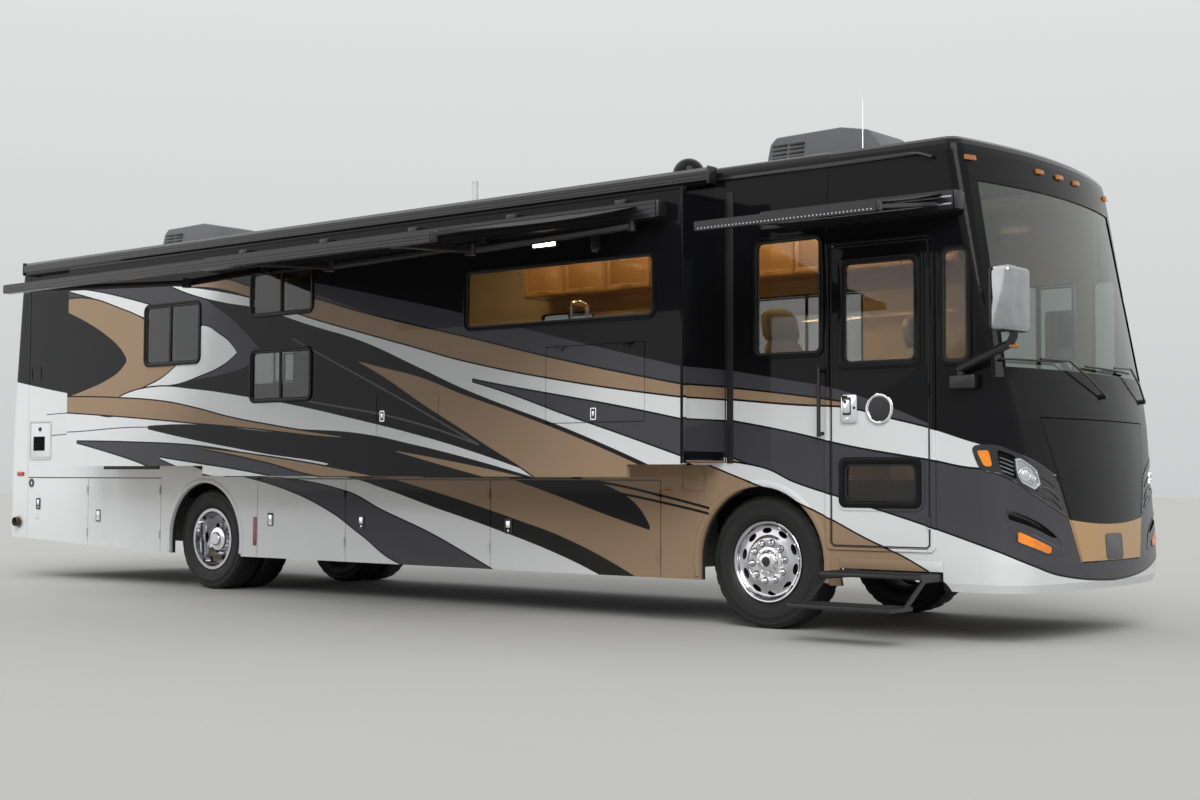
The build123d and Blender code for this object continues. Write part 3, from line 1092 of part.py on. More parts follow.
with BuildPart() as wipers:
    for pivot, arm_end, blade_a, blade_b in WIPERS:
        strut(on_nose(*pivot, 12), on_nose(*arm_end, 48), 18, 20)
        strut(on_nose(*blade_a, 32), on_nose(*blade_b, 34), 14, 26)
        with Locations(on_nose(*pivot, 17.8)):
            Sphere(17)
wipers.part.label = "wipers"
export_step(wipers.part, "parts/wipers.step")

# Air conditioners, dome, vents, pipe and aerial on the roof
DOME_R = 132
DOME_Z = ROOF_Z + 110
with BuildPart() as roof_units:
    side_profile(
        (
            (FRONT_AXLE_X - 560, ROOF_Z), (FRONT_AXLE_X - 520, 3740), (FRONT_AXLE_X - 480, 3815),
            (FRONT_AXLE_X + 100, 3835), (FRONT_AXLE_X + 330, 3790), (FRONT_AXLE_X + 570, ROOF_Z + 100),
            (FRONT_AXLE_X + 600, ROOF_Z),
        ),
        -360, 360,
    )
    side_profile(
        (
            (FRONT_AXLE_X - 8580, ROOF_Z), (FRONT_AXLE_X - 8540, 3760), (FRONT_AXLE_X - 8490, 3815),
            (FRONT_AXLE_X - 7900, 3835), (FRONT_AXLE_X - 7650, 3790), (FRONT_AXLE_X - 7420, ROOF_Z + 100),
            (FRONT_AXLE_X - 7390, ROOF_Z),
        ),
        -360, 360,
    )
    rod_z(FRONT_AXLE_X - 1150, -550, 190, ROOF_Z, ROOF_Z + 90)
    rod_z(FRONT_AXLE_X - 1150, -550, DOME_R, ROOF_Z + 90, DOME_Z)
    with Locations((FRONT_AXLE_X - 1150, -550, DOME_Z)):
        Sphere(DOME_R, arc_size1=0)
    rod_z(FRONT_AXLE_X - 3510, -600, 28, ROOF_Z, 3760)
    rod_z(FRONT_AXLE_X + 400, -420, 5, ROOF_Z, 4110)
    block(FRONT_AXLE_X - 3000, FRONT_AXLE_X - 2600, -200, 200, ROOF_Z, ROOF_Z + 110)
    block(FRONT_AXLE_X - 5600, FRONT_AXLE_X - 5200, -200, 200, ROOF_Z, ROOF_Z + 110)
roof_units.part.label = "roof_units"
export_step(roof_units.part, "parts/roof_units.step")

# Lamps: marker lamps over the windshield, headlamps, corner and bumper lamps
MARKERS = (-1110, -306, 0, 306, 1110)
SIDE_AMBER = ((560, 1290), (622, 1282), (640, 1190), (586, 1204))
HEADLAMP = ((788, 1236), (923, 1209), (985, 1052), (900, 1038), (820, 1083))
AMBER_BAR = ((797, 752), (1060, 640), (1050, 622), (797, 722))
with BuildPart() as lamp_prisms:
    for side in (-1, 1):
        corner_prism(SIDE_AMBER, side, 1500, 2600)
        corner_prism(HEADLAMP, side, 1500, 2600)
        corner_prism(AMBER_BAR, side, 1500, 2600)
with BuildPart() as front_lamps:
    cap_body(3, CAP_SEAM_X)
    cap_body(13.7, CAP_SEAM_X - 10, Mode.SUBTRACT)
    add(lamp_prisms.part, mode=Mode.INTERSECT)
with BuildPart() as marker_prisms:
    for marker_y in MARKERS:
        block(FRONT_AXLE_X + 1500, FRONT_AXLE_X + 2000, marker_y - 45, marker_y + 45, 3268, 3300)
with BuildPart() as marker_lamps:
    cap_body(-18, CAP_SEAM_X)
    cap_body(-0.3, CAP_SEAM_X - 10, Mode.SUBTRACT)
    add(marker_prisms.part, mode=Mode.INTERSECT)
with BuildPart() as tail_prisms:
    for side in (-1, 1):
        for y0, y1, z0, z1 in TAIL_LAMPS:
            block(REAR_END_X - 50, REAR_END_X + 60, side * y0, side * y1, z0, z1)
with BuildPart() as tail_lamps:
    rear_body(-14, REAR_SEAM_X)
    rear_body(-0.3, REAR_SEAM_X + 10, Mode.SUBTRACT)
    add(tail_prisms.part, mode=Mode.INTERSECT)
with BuildPart() as lamps:
    add(front_lamps.part)
    add(marker_lamps.part)
    add(tail_lamps.part)
lamps.part.label = "lamps"
export_step(lamps.part, "parts/lamps.step")

# Dashboard and steering wheel
with BuildPart() as dashboard:
    side_profile(
        (
            (FRONT_AXLE_X + 1440, 1380), (FRONT_AXLE_X + 1480, 1640), (FRONT_AXLE_X + 1560, 1700),
            (FRONT_AXLE_X + 1720, 1700), (FRONT_AXLE_X + 1720, 1380),
        ),
        -1100, 1100,
    )
    block(FRONT_AXLE_X + 1540, FRONT_AXLE_X + 1720, -1100, 1100, WAIST_Z, 1381)
    strut((FRONT_AXLE_X + 1470, 600, 1600), (FRONT_AXLE_X + 1311, 600, 1714), 60, 60)
    with Locations(Location((FRONT_AXLE_X + 1310, 600, 1715), (0, -54, 0))):
        Torus(215, 15)
        Box(420, 34, 12)
        Box(34, 420, 12)
dashboard.part.label = "dashboard"
export_step(dashboard.part, "parts/dashboard.step")

# Cab seats
SEATS = ((150, -640), (660, 600))
with BuildPart() as cab_seats:
    for seat_x, seat_y in SEATS:
        x = FRONT_AXLE_X + seat_x
        block(x - 180, x + 180, seat_y - 180, seat_y + 180, WAIST_Z, 1400)
        side_panel(x - 260, x + 280, 1400, 1560, 60, seat_y - 260, seat_y + 260)
        strut((x - 200, seat_y, 1480), (x - 340, seat_y, 2180), 500, 140)
        strut((x - 335, seat_y, 2190), (x - 375, seat_y, 2400), 280, 110)
        for side in (-1, 1):
            strut((x - 333, seat_y + side * 60, 2140), (x - 345, seat_y + side * 60, 2240), 16, 16)
            block(x - 240, x + 160, seat_y + side * 265, seat_y + side * 325, 1660, 1730)
            block(x - 230, x - 170, seat_y + side * 255, seat_y + side * 325, 1500, 1700)
cab_seats.part.label = "cab_seats"
export_step(cab_seats.part, "parts/cab_seats.step")

# Cabinets: sofa, table, overhead cabinets, partition
WALL_IN_Y = HALF_W - WALL_T - SEAT_GAP
with BuildPart() as cabinets:
    block(FRONT_AXLE_X - 2300, FRONT_AXLE_X - 300, 560, WALL_IN_Y, WAIST_Z, 1520)
    block(FRONT_AXLE_X - 2300, FRONT_AXLE_X - 300, 980, WALL_IN_Y, 1520, 1940)
    block(FRONT_AXLE_X - 4200, FRONT_AXLE_X + 560, 820, WALL_IN_Y, 2860, 3330)
    block(FRONT_AXLE_X - 3600, FRONT_AXLE_X - 2600, 500, WALL_IN_Y, WAIST_Z, 1820)
    block(FRONT_AXLE_X - 5630, FRONT_AXLE_X - 5600, -560, WALL_IN_Y, WAIST_Z, ROOF_Z - ROOF_T)
cabinets.part.label = "cabinets"
export_step(cabinets.part, "parts/cabinets.step")
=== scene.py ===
from math import cos, pi, radians, sin, sqrt

import bmesh
import bpy
from mathutils import Matrix, Vector
from mathutils.geometry import delaunay_2d_cdt


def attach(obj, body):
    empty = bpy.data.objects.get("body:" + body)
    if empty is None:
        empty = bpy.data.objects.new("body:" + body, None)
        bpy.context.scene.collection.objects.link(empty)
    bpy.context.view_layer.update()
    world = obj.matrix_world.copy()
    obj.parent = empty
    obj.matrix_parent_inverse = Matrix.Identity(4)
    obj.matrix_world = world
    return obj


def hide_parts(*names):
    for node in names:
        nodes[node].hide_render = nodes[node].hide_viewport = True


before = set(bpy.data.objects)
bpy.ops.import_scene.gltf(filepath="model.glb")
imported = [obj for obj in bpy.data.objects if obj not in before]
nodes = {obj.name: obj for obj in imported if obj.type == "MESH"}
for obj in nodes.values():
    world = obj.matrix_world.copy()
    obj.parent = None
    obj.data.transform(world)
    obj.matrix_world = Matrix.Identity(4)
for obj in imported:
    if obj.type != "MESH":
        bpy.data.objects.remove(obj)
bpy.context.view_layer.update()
scene = bpy.context.scene

# Metres, in the frame of the CAD: +X forward, +Y left, +Z up
FRONT_AXLE_X = 3.95
REAR_AXLE_X = -2.61
HALF_W = 1.22
SLIDE_Y = -1.775
ROOF_Z = 3.45
SIDES = (("right", -1), ("left", 1))


def at(x):
    """Part X of a place given ahead of the front axle."""
    return FRONT_AXLE_X + x


# ---------------------------------------------------------------- mesh helpers
def piece(name, bm, look, body, smooth=True):
    """Object made of bm, with the look, riding body."""
    mesh = bpy.data.meshes.new(name)
    bmesh.ops.recalc_face_normals(bm, faces=bm.faces)
    bm.to_mesh(mesh)
    bm.free()
    obj = bpy.data.objects.new(name, mesh)
    scene.collection.objects.link(obj)
    if look:
        mesh.materials.append(M[look])
    if smooth:
        smooth_by_angle(mesh)
    if body:
        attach(obj, body)
    return obj


def make(name, look, body, slot, *steps):
    """Piece from steps, each a function and what it gets after the mesh."""
    bm = bmesh.new()
    for step, *given in steps:
        step(bm, *given)
    return piece(name, bm, look, body)


def smooth_by_angle(mesh, limit=radians(38)):
    """Smooth shading that stops at edges sharper than limit."""
    bm = bmesh.new()
    bm.from_mesh(mesh)
    for face in bm.faces:
        face.smooth = True
    for edge in bm.edges:
        edge.smooth = len(edge.link_faces) == 2 and edge.calc_face_angle(0) < limit
    bm.to_mesh(mesh)
    bm.free()


def round_edges(bm, edges, offset, segments=2):
    bmesh.ops.bevel(bm, geom=edges, offset=offset, segments=segments, profile=0.5, affect="EDGES")


def join_rings(bm, rings, around=True, along=False):
    """Faces between rows of vertices; around closes each row, along joins the last row to the first."""
    pairs = list(zip(rings, rings[1:])) + ([(rings[-1], rings[0])] if along else [])
    for low, high in pairs:
        n = len(low)
        for k in range(n if around else n - 1):
            j = (k + 1) % n
            bm.faces.new((low[k], low[j], high[j], high[k]))


def add_box(bm, x0, x1, y0, y1, z0, z1, bevel=0.0, segments=2):
    """Box with rounded edges; the two ends of a span can come in either order."""
    verts = bmesh.ops.create_cube(bm, size=1.0)["verts"]
    size = Vector((abs(x1 - x0), abs(y1 - y0), abs(z1 - z0)))
    middle = Vector(((x0 + x1) / 2, (y0 + y1) / 2, (z0 + z1) / 2))
    for v in verts:
        v.co = Vector(v.co[k] * size[k] for k in range(3)) + middle
    if bevel > 0:
        round_edges(bm, list({e for v in verts for e in v.link_edges}), min(bevel, min(size) * 0.45), segments)


def rounded(u0, u1, v0, v1, r, steps=6):
    """Corner points of a rounded rectangle, counter-clockwise."""
    points = []
    for cu, cv, start in ((u1 - r, v1 - r, 0), (u0 + r, v1 - r, 90), (u0 + r, v0 + r, 180), (u1 - r, v0 + r, 270)):
        for k in range(steps + 1):
            a = radians(start + 90 * k / steps)
            points.append((cu + r * cos(a), cv + r * sin(a)))
    return points


def circle(u, v, r, count):
    return [(u + r * cos(2 * pi * k / count), v + r * sin(2 * pi * k / count)) for k in range(count)]


def add_prism(bm, outline, place, d0, d1, edge=0.0):
    """Outline swept from depth d0 to d1; place(u, v, d) gives the point. edge rounds the d1 rim."""
    levels = [(d0, 0.0), (d1, 0.0)]
    if edge > 0:
        sign = 1 if d1 > d0 else -1
        levels[1:] = [(d1 - sign * edge, 0.0), (d1 - sign * edge * 0.3, edge * 0.3), (d1, edge)]
    cu = sum(p[0] for p in outline) / len(outline)
    cv = sum(p[1] for p in outline) / len(outline)
    rings = []
    for depth, inset in levels:
        ring = []
        for u, v in outline:
            du, dv = u - cu, v - cv
            n = sqrt(du * du + dv * dv) or 1
            ring.append(bm.verts.new(place(u - du / n * inset, v - dv / n * inset, depth)))
        rings.append(ring)
    join_rings(bm, rings)
    bm.faces.new(rings[0][::-1])
    bm.faces.new(rings[-1])


def add_ring(bm, outer, inner, place, d0, d1, edge=0.0):
    """Frame between two outlines of as many points, from depth d0 to d1."""
    loops = [[bm.verts.new(place(u, v, depth)) for u, v in points]
             for points, depth in ((outer, d0), (outer, d1), (inner, d1), (inner, d0))]
    join_rings(bm, loops, along=True)
    if edge > 0:
        round_edges(bm, [e for loop in loops[1:3] for e in bm.edges if e.verts[0] in loop and e.verts[1] in loop], edge)


def on_side(side, face):
    """Place function for the side faces: u is X, v is Z, depth points outwards."""
    return lambda u, v, d: Vector((u, side * (face + d), v))


def turn(bm, profile, segments, point):
    """Profile of pairs (r, h) turned once round; point(r, h, a) gives the place at angle a."""
    rings = []
    for k in range(segments):
        a = 2 * pi * k / segments
        rings.append([bm.verts.new(point(r, h, a)) for r, h in profile])
    join_rings(bm, rings, around=False, along=True)
    bmesh.ops.remove_doubles(bm, verts=bm.verts, dist=1e-6)


def add_lathe(bm, profile, centre, side=1, segments=96):
    """Profile of (radius, outward distance) turned about Y through centre."""
    x, y, z = centre
    turn(bm, profile, segments, lambda r, h, a: (x + r * cos(a), y + side * h, z + r * sin(a)))


def add_upright(bm, profile, x, y, segments=48):
    """Profile of (radius, height over the roof) turned about Z."""
    turn(bm, profile, segments, lambda r, h, a: (x + r * cos(a), y + r * sin(a), ROOF_Z + h))


def add_tube(bm, points, radius, sides=12, closed_ends=True):
    """Round tube along points."""
    points = [Vector(p) for p in points]
    rings = []
    normal = None
    for k, p in enumerate(points):
        ahead = (points[min(k + 1, len(points) - 1)] - points[max(k - 1, 0)]).normalized()
        if normal is None:
            normal = ahead.orthogonal().normalized()
        else:
            normal = (normal - ahead * normal.dot(ahead)).normalized()
        other = ahead.cross(normal)
        rings.append([bm.verts.new(p + (normal * u + other * v) * radius) for u, v in circle(0, 0, 1, sides)])
    join_rings(bm, rings)
    if closed_ends:
        bm.faces.new(rings[0][::-1])
        bm.faces.new(rings[-1])


# ---------------------------------------------------------------- shader helpers
class Graph:
    """Short names for the nodes of one tree."""

    def __init__(self, tree):
        self.tree = tree

    def node(self, kind, **values):
        node = self.tree.nodes.new(kind)
        for key, value in values.items():
            setattr(node, key, value)
        return node

    def link(self, source, target):
        if isinstance(source, bpy.types.NodeSocket):
            self.tree.links.new(source, target)
        else:
            target.default_value = source

    def math(self, operation, a, b=0.0, c=0.0):
        node = self.node("ShaderNodeMath", operation=operation)
        for k, value in enumerate((a, b, c)):
            self.link(value, node.inputs[k])
        return node.outputs[0]

    def above(self, value, limit):
        return self.math("GREATER_THAN", value, limit)

    def below(self, value, limit):
        return self.math("LESS_THAN", value, limit)

    def product(self, first, *others):
        for other in others:
            first = self.math("MULTIPLY", first, other)
        return first

    def between(self, value, low, high, out_low=0.0, out_high=1.0, clamp=True):
        node = self.node("ShaderNodeMapRange", clamp=clamp)
        for k, given in enumerate((value, low, high, out_low, out_high)):
            self.link(given, node.inputs[k])
        return node.outputs[0]

    def mix(self, factor, a, b):
        node = self.node("ShaderNodeMix", data_type="RGBA")
        for k, value in ((0, factor), (6, a), (7, b)):
            self.link(value + (1.0,) if isinstance(value, tuple) and len(value) == 3 else value, node.inputs[k])
        return node.outputs[2]

    def texture(self, kind, vector, given, **settings):
        """Outputs of a texture or mapping node at vector; given holds the numbers of its sockets."""
        node = self.node(kind, **settings)
        self.link(vector, node.inputs["Vector"])
        for key, value in given.items():
            node.inputs[key].default_value = value
        return node.outputs

    def noise(self, vector, scale, detail=3.0, roughness=0.55):
        given = {"Scale": scale, "Detail": detail, "Roughness": roughness}
        return self.texture("ShaderNodeTexNoise", vector, given)["Fac"]

    def place(self):
        return self.node("ShaderNodeTexCoord").outputs["Object"]

    def axes(self, vector):
        split = self.node("ShaderNodeSeparateXYZ")
        self.link(vector, split.inputs[0])
        return split.outputs

    def bump(self, height, strength, distance):
        node = self.node("ShaderNodeBump")
        self.link(height, node.inputs["Height"])
        node.inputs["Strength"].default_value = strength
        node.inputs["Distance"].default_value = distance
        return node.outputs[0]

    def curve(self, value, points):
        """Float Curve through points in the unit square."""
        node = self.node("ShaderNodeFloatCurve")
        line = node.mapping.curves[0]
        node.mapping.use_clip = False
        line.points[0].location = points[0]
        line.points[1].location = points[-1]
        for p in points[1:-1]:
            line.points.new(*p)
        for p in line.points:
            p.handle_type = "AUTO"
        node.mapping.update()
        self.link(value, node.inputs[1])
        return node.outputs[0]


def new_material(name):
    """Material, its graph and the object's own coordinates."""
    mat = bpy.data.materials.new(name)
    mat.use_nodes = True
    graph = Graph(mat.node_tree)
    return mat, graph, graph.place()


def set_look(g, colour, rough, normal=None, **values):
    """Link colour, roughness and normal to the Principled shader, and set its other sockets by name."""
    inputs = g.tree.nodes["Principled BSDF"].inputs
    g.link(colour, inputs["Base Color"])
    g.link(rough, inputs["Roughness"])
    if normal is not None:
        g.link(normal, inputs["Normal"])
    for key, value in values.items():
        g.link(value, inputs[key.replace("_", " ")])


def scaled(colour, share):
    return tuple(c * share for c in colour)


def finish(name, colour, rough=0.5, metallic=0.0, coat=0.0, spread=0.15, scale=9.0,
                    grain=220.0, bump=0.05, depth=0.0006, specular=0.5, streak=None):
    """Plain surface with colour variation, uneven gloss and fine bump."""
    mat, g, place = new_material(name)
    if streak:
        place = g.texture("ShaderNodeMapping", place, {"Scale": streak})[0]
    cloudy = g.noise(place, scale, 4.0)
    light = tuple(min(1.0, c) for c in scaled(colour, 1 + spread))
    set_look(g, g.mix(g.between(cloudy, 0.3, 0.7), scaled(colour, 1 - spread), light),
             g.between(cloudy, 0.25, 0.75, max(0.02, rough * 0.8), min(1.0, rough * 1.25)),
             g.bump(g.noise(place, grain, 2.0), bump, depth), Metallic=metallic, Coat_Weight=coat,
             Coat_Roughness=0.05, Specular_IOR_Level=specular)
    return mat


# ---------------------------------------------------------------- paint scheme
BLACK = (0.0065, 0.0066, 0.0075)
CHARCOAL = (0.060, 0.060, 0.068)
PEARL = (0.72, 0.73, 0.735)
TAN = (0.315, 0.215, 0.135)
DARK_GREY = (0.10, 0.10, 0.105)
HOOD_GOLD = (0.47, 0.30, 0.145)
# Width of the black pinstripe round every band
PIN = 0.014
# Height where the bands of the skirts end and those above begin, and the same ahead of the front arch
SKIRT_TOP_Z = 1.098
FRONT_SKIRT_TOP_Z = 1.09

# Swept bands above the skirts, painted in this order: colour, upper edge and lower edge as (X ahead of
# the front axle, Z). Each edge is a smooth line through its points, and both span the same X.
HIGH_BANDS = (
    (PEARL, ((-10.3, 2.20), (-9.71, 2.10), (-8.98, 1.99), (-8.1, 1.88)),
     ((-10.3, 1.0), (-9.7, 1.0), (-9.0, 1.0), (-8.1, 1.0))),
    (PEARL, ((-8.12, 1.88), (-7.0, 1.80), (-5.5, 1.62), (-4.6, 1.48), (-3.68, 1.385)),
     ((-8.12, 1.0), (-7.0, 1.0), (-5.5, 1.02), (-4.6, 1.10), (-3.68, 1.384))),
    (CHARCOAL, ((-8.1, 3.03), (-6.9, 2.98), (-6.38, 2.925), (-6.08, 2.84), (-5.62, 2.63), (-5.32, 2.45),
                (-5.0, 2.20)),
     ((-8.1, 2.2), (-6.9, 2.0), (-6.62, 1.955), (-6.0, 2.005), (-5.47, 2.055), (-5.2, 2.11), (-5.0, 2.19))),
    (PEARL, ((-8.07, 3.003), (-7.6, 2.935), (-7.14, 2.845), (-6.7, 2.745)),
     ((-8.07, 2.97), (-7.6, 2.862), (-7.0, 2.694), (-6.7, 2.60))),
    (TAN, ((-8.12, 2.895), (-7.72, 2.872), (-7.25, 2.755), (-6.776, 2.60), (-6.25, 2.30)),
     ((-8.12, 1.748), (-7.7, 1.73), (-7.25, 1.70), (-6.776, 1.85), (-6.25, 2.18))),
    (PEARL, ((-7.155, 1.868), (-6.745, 1.967), (-6.5, 2.04), (-6.2, 2.21), (-5.95, 2.50), (-5.62, 2.405),
             (-5.38, 2.236)),
     ((-7.155, 1.862), (-6.745, 1.90), (-6.5, 1.955), (-6.2, 1.985), (-5.95, 2.035), (-5.62, 2.115),
      (-5.38, 2.228))),
    (PEARL, ((-7.2, 1.875), (-6.62, 1.955), (-6.0, 1.915), (-5.17, 1.815), (-4.68, 1.748), (-3.75, 1.588),
             (-3.0, 1.445), (-2.48, 1.33), (-1.62, 1.105)),
     ((-7.2, 1.868), (-6.62, 1.82), (-6.0, 1.74), (-5.17, 1.60), (-4.68, 1.535), (-3.75, 1.475),
      (-3.0, 1.36), (-2.48, 1.264), (-1.62, 1.08))),
    (TAN, ((-8.12, 1.90), (-7.25, 1.866), (-6.5, 1.812), (-6.0, 1.739), (-5.47, 1.64), (-5.0, 1.572),
           (-4.26, 1.480), (-3.95, 1.448)),
     ((-8.12, 1.748), (-7.25, 1.695), (-6.5, 1.642), (-6.0, 1.603), (-5.47, 1.566), (-5.0, 1.527),
      (-4.26, 1.460), (-3.95, 1.440))),
    (BLACK, ((-8.12, 2.75), (-7.75, 2.62), (-7.42, 2.475), (-7.20, 2.345), (-7.09, 2.24)),
     ((-8.12, 1.91), (-7.75, 1.98), (-7.42, 2.06), (-7.20, 2.145), (-7.09, 2.23))),
    (BLACK, ((-6.72, 1.572), (-6.0, 1.573), (-5.0, 1.497), (-4.0, 1.415), (-3.55, 1.37)),
     ((-6.72, 1.566), (-6.0, 1.455), (-5.0, 1.325), (-4.0, 1.209), (-3.55, 1.05))),
    (CHARCOAL, ((-7.92, 1.447), (-7.0, 1.427), (-6.0, 1.385), (-5.17, 1.30), (-4.47, 1.222), (-3.9, 1.12)),
     ((-7.92, 1.441), (-7.0, 1.272), (-6.5, 1.16), (-5.17, 0.98), (-4.47, 0.98), (-3.9, 1.0))),
    (TAN, ((-5.84, 1.362), (-5.0, 1.285), (-4.26, 1.205), (-3.5, 1.10)),
     ((-5.84, 1.357), (-5.0, 1.243), (-4.26, 1.115), (-3.5, 1.05))),
    (PEARL, ((-6.52, 1.278), (-5.87, 1.212), (-5.4, 1.165), (-4.9, 1.105)),
     ((-6.52, 1.272), (-5.87, 1.13), (-5.4, 1.09), (-4.9, 1.095))),
    (TAN, ((-3.26, 1.318), (-2.48, 1.21), (-1.8, 1.10)), ((-3.26, 1.312), (-2.48, 1.15), (-1.8, 1.02))),
    (CHARCOAL, ((-5.8, 2.955), (-5.3, 2.965), (-4.3, 2.79), (-3.4, 2.61), (-2.51, 2.42), (-1.4, 2.155),
                (-0.28, 1.90)),
     ((-5.8, 2.90), (-5.3, 2.80), (-4.3, 2.60), (-3.4, 2.38), (-2.51, 2.2), (-1.4, 1.95), (-0.28, 1.70))),
    (PEARL, ((-6.36, 2.908), (-6.02, 2.865), (-5.56, 2.79), (-5.17, 2.71), (-4.3, 2.47), (-3.75, 2.336),
             (-3.0, 2.155), (-2.48, 2.03), (-1.27, 1.81), (-0.28, 1.68)),
     ((-6.36, 2.902), (-6.02, 2.80), (-5.56, 2.70), (-5.17, 2.635), (-4.3, 2.41), (-3.75, 2.27),
      (-3.0, 2.003), (-2.48, 1.81), (-1.27, 1.436), (-0.28, 1.08))),
    (TAN, ((-6.13, 2.893), (-5.7, 2.925), (-5.17, 2.815), (-4.3, 2.648), (-3.75, 2.506), (-3.0, 2.336),
           (-2.48, 2.225), (-1.4, 1.985), (-0.28, 1.768)),
     ((-6.13, 2.888), (-5.7, 2.845), (-5.17, 2.724), (-4.3, 2.48), (-3.75, 2.345), (-3.0, 2.165),
      (-2.48, 2.04), (-1.4, 1.843), (-0.28, 1.688))),
    (CHARCOAL, ((-2.39, 1.878), (-2.0, 1.809), (-1.4, 1.712), (-0.9, 1.63), (-0.28, 1.515)),
     ((-2.39, 1.872), (-2.0, 1.77), (-1.4, 1.588), (-0.9, 1.445), (-0.28, 1.262))),
    (TAN, ((-3.73, 2.081), (-3.4, 2.01), (-3.0, 1.925), (-2.51, 1.77), (-2.0, 1.625), (-1.27, 1.40),
           (-0.6, 1.165)),
     ((-3.73, 2.076), (-3.4, 1.93), (-3.0, 1.724), (-2.51, 1.49), (-2.0, 1.25), (-1.27, 0.95), (-0.6, 0.9))),
)
# Bands of the nose and the sides ahead of the slide-out; past the corners X goes on round the front
FRONT_BANDS = (
    (CHARCOAL, ((-0.28, 1.905), (0.2, 1.82), (0.57, 1.755), (1.05, 1.61), (1.4, 1.47)),
     ((-0.28, 1.60), (0.2, 1.60), (0.57, 1.55), (1.05, 1.50), (1.4, 1.42))),
    (TAN, ((-0.28, 1.768), (0.34, 1.692), (0.6, 1.655), (0.80, 1.618)),
     ((-0.28, 1.696), (0.34, 1.638), (0.6, 1.622), (0.80, 1.612))),
    (PEARL, ((-0.28, 1.68), (0.34, 1.622), (0.75, 1.594), (1.0, 1.534), (1.41, 1.438), (1.72, 1.345),
             (2.1, 1.25), (2.6, 1.12)),
     ((-0.28, 1.54), (0.34, 1.425), (0.75, 1.338), (1.0, 1.29), (1.41, 1.23), (1.72, 1.16), (2.1, 1.20),
      (2.6, 1.115))),
    (CHARCOAL, ((-0.28, 1.525), (0.31, 1.42), (0.75, 1.325), (1.41, 1.22), (1.75, 1.165), (2.1, 1.18),
                (2.6, 1.08), (3.5, 0.53)),
     ((-0.28, 1.275), (0.31, 1.078), (0.75, 0.959), (1.41, 0.777), (1.9, 0.63), (2.26, 0.53), (2.6, 0.46),
      (3.5, 0.402))),
    (PEARL, ((-0.52, 1.232), (0.0, 1.18), (0.31, 1.066), (0.75, 0.947), (1.41, 0.765), (1.9, 0.618),
             (2.26, 0.518), (2.6, 0.448), (3.5, 0.39)),
     ((-0.52, 1.226), (-0.25, 1.134), (0.2, 0.985), (0.56, 0.842), (0.9, 0.69), (1.19, 0.575),
      (1.5, 0.41), (1.8, 0.2), (3.5, 0.2))),
)
# Bands of the skirts and baggage doors behind the front arch
LOW_BANDS = (
    (TAN, ((-5.0, 1.2), (-3.0, 1.2), (-0.3, 1.2)), ((-5.0, 0.9), (-3.0, 0.3), (-0.3, 0.2))),
    (BLACK, ((-2.5, 1.12), (-1.9, 1.10), (-1.4, 1.01), (-1.02, 0.725)),
     ((-2.5, 1.11), (-1.9, 0.95), (-1.4, 0.81), (-1.02, 0.715))),
    (BLACK, ((-4.7, 1.2), (-4.0, 1.09), (-3.4, 0.97), (-2.9, 0.86), (-2.4, 0.74), (-1.9, 0.61), (-1.1, 0.30)),
     ((-4.7, 0.9), (-4.0, 0.7), (-3.4, 0.6), (-2.9, 0.5), (-2.4, 0.4), (-1.9, 0.3), (-1.1, 0.25))),
    (PEARL, ((-10.3, 1.2), (-6.2, 1.2), (-4.52, 1.10), (-4.01, 1.0), (-3.4, 0.85), (-2.76, 0.70), (-2.0, 0.50),
             (-1.5, 0.33)),
     ((-10.3, 0.2), (-6.2, 0.2), (-4.52, 0.2), (-4.01, 0.2), (-3.4, 0.2), (-2.76, 0.2), (-2.0, 0.2),
      (-1.5, 0.2))),
    (CHARCOAL, ((-5.95, 1.115), (-4.52, 0.971), (-4.01, 0.80), (-3.43, 0.62), (-2.9, 0.42), (-2.6, 0.30)),
     ((-5.95, 1.109), (-5.25, 0.97), (-4.7, 0.79), (-4.31, 0.60), (-3.74, 0.34), (-2.6, 0.2))),
)
# Thin lines: colour, width, points
LINES = (
    (CHARCOAL, 0.010, ((-9.35, 1.765), (-8.8, 1.775), (-8.1, 1.76))),
    (CHARCOAL, 0.010, ((-9.4, 1.53), (-8.8, 1.55), (-8.1, 1.545), (-7.0, 1.575), (-6.7, 1.572))),
    (DARK_GREY, 0.016, ((-4.6, 2.32), (-4.3, 2.194), (-3.3, 1.785), (-2.31, 1.36))),
    (DARK_GREY, 0.016, ((-4.7, 1.81), (-4.3, 1.748), (-3.3, 1.60), (-2.31, 1.36))),
)
LOW_LINES = (
    (BLACK, 0.020, ((-1.9, 1.10), (-1.435, 1.056), (-0.9, 0.965), (-0.45, 0.875))),
    (BLACK, 0.020, ((-1.435, 0.997), (-0.9, 0.915), (-0.45, 0.835))),
)


def band_mask(g, u, v, upper, lower, grow):
    """Two masks of the band between the edges upper and lower: as drawn, and wider by grow."""
    x0, x1 = upper[0][0], upper[-1][0]
    heights = [p[1] for p in upper + lower]
    z0, z1 = min(heights) - 0.05, max(heights) + 0.05
    un = g.between(u, x0, x1, clamp=False)
    vn = g.between(v, z0, z1, clamp=False)
    edges = []
    for points in (upper, lower):
        unit = [((x - x0) / (x1 - x0), (z - z0) / (z1 - z0)) for x, z in points]
        edges.append(g.curve(un, unit))
    span = g.product(g.above(un, 0.0), g.below(un, 1.0))
    masks = []
    for extra in (0.0, grow / (z1 - z0)):
        top = g.below(vn, g.math("ADD", edges[0], extra))
        low = g.above(vn, g.math("SUBTRACT", edges[1], extra))
        masks.append(g.product(span, g.product(top, low)))
    return masks


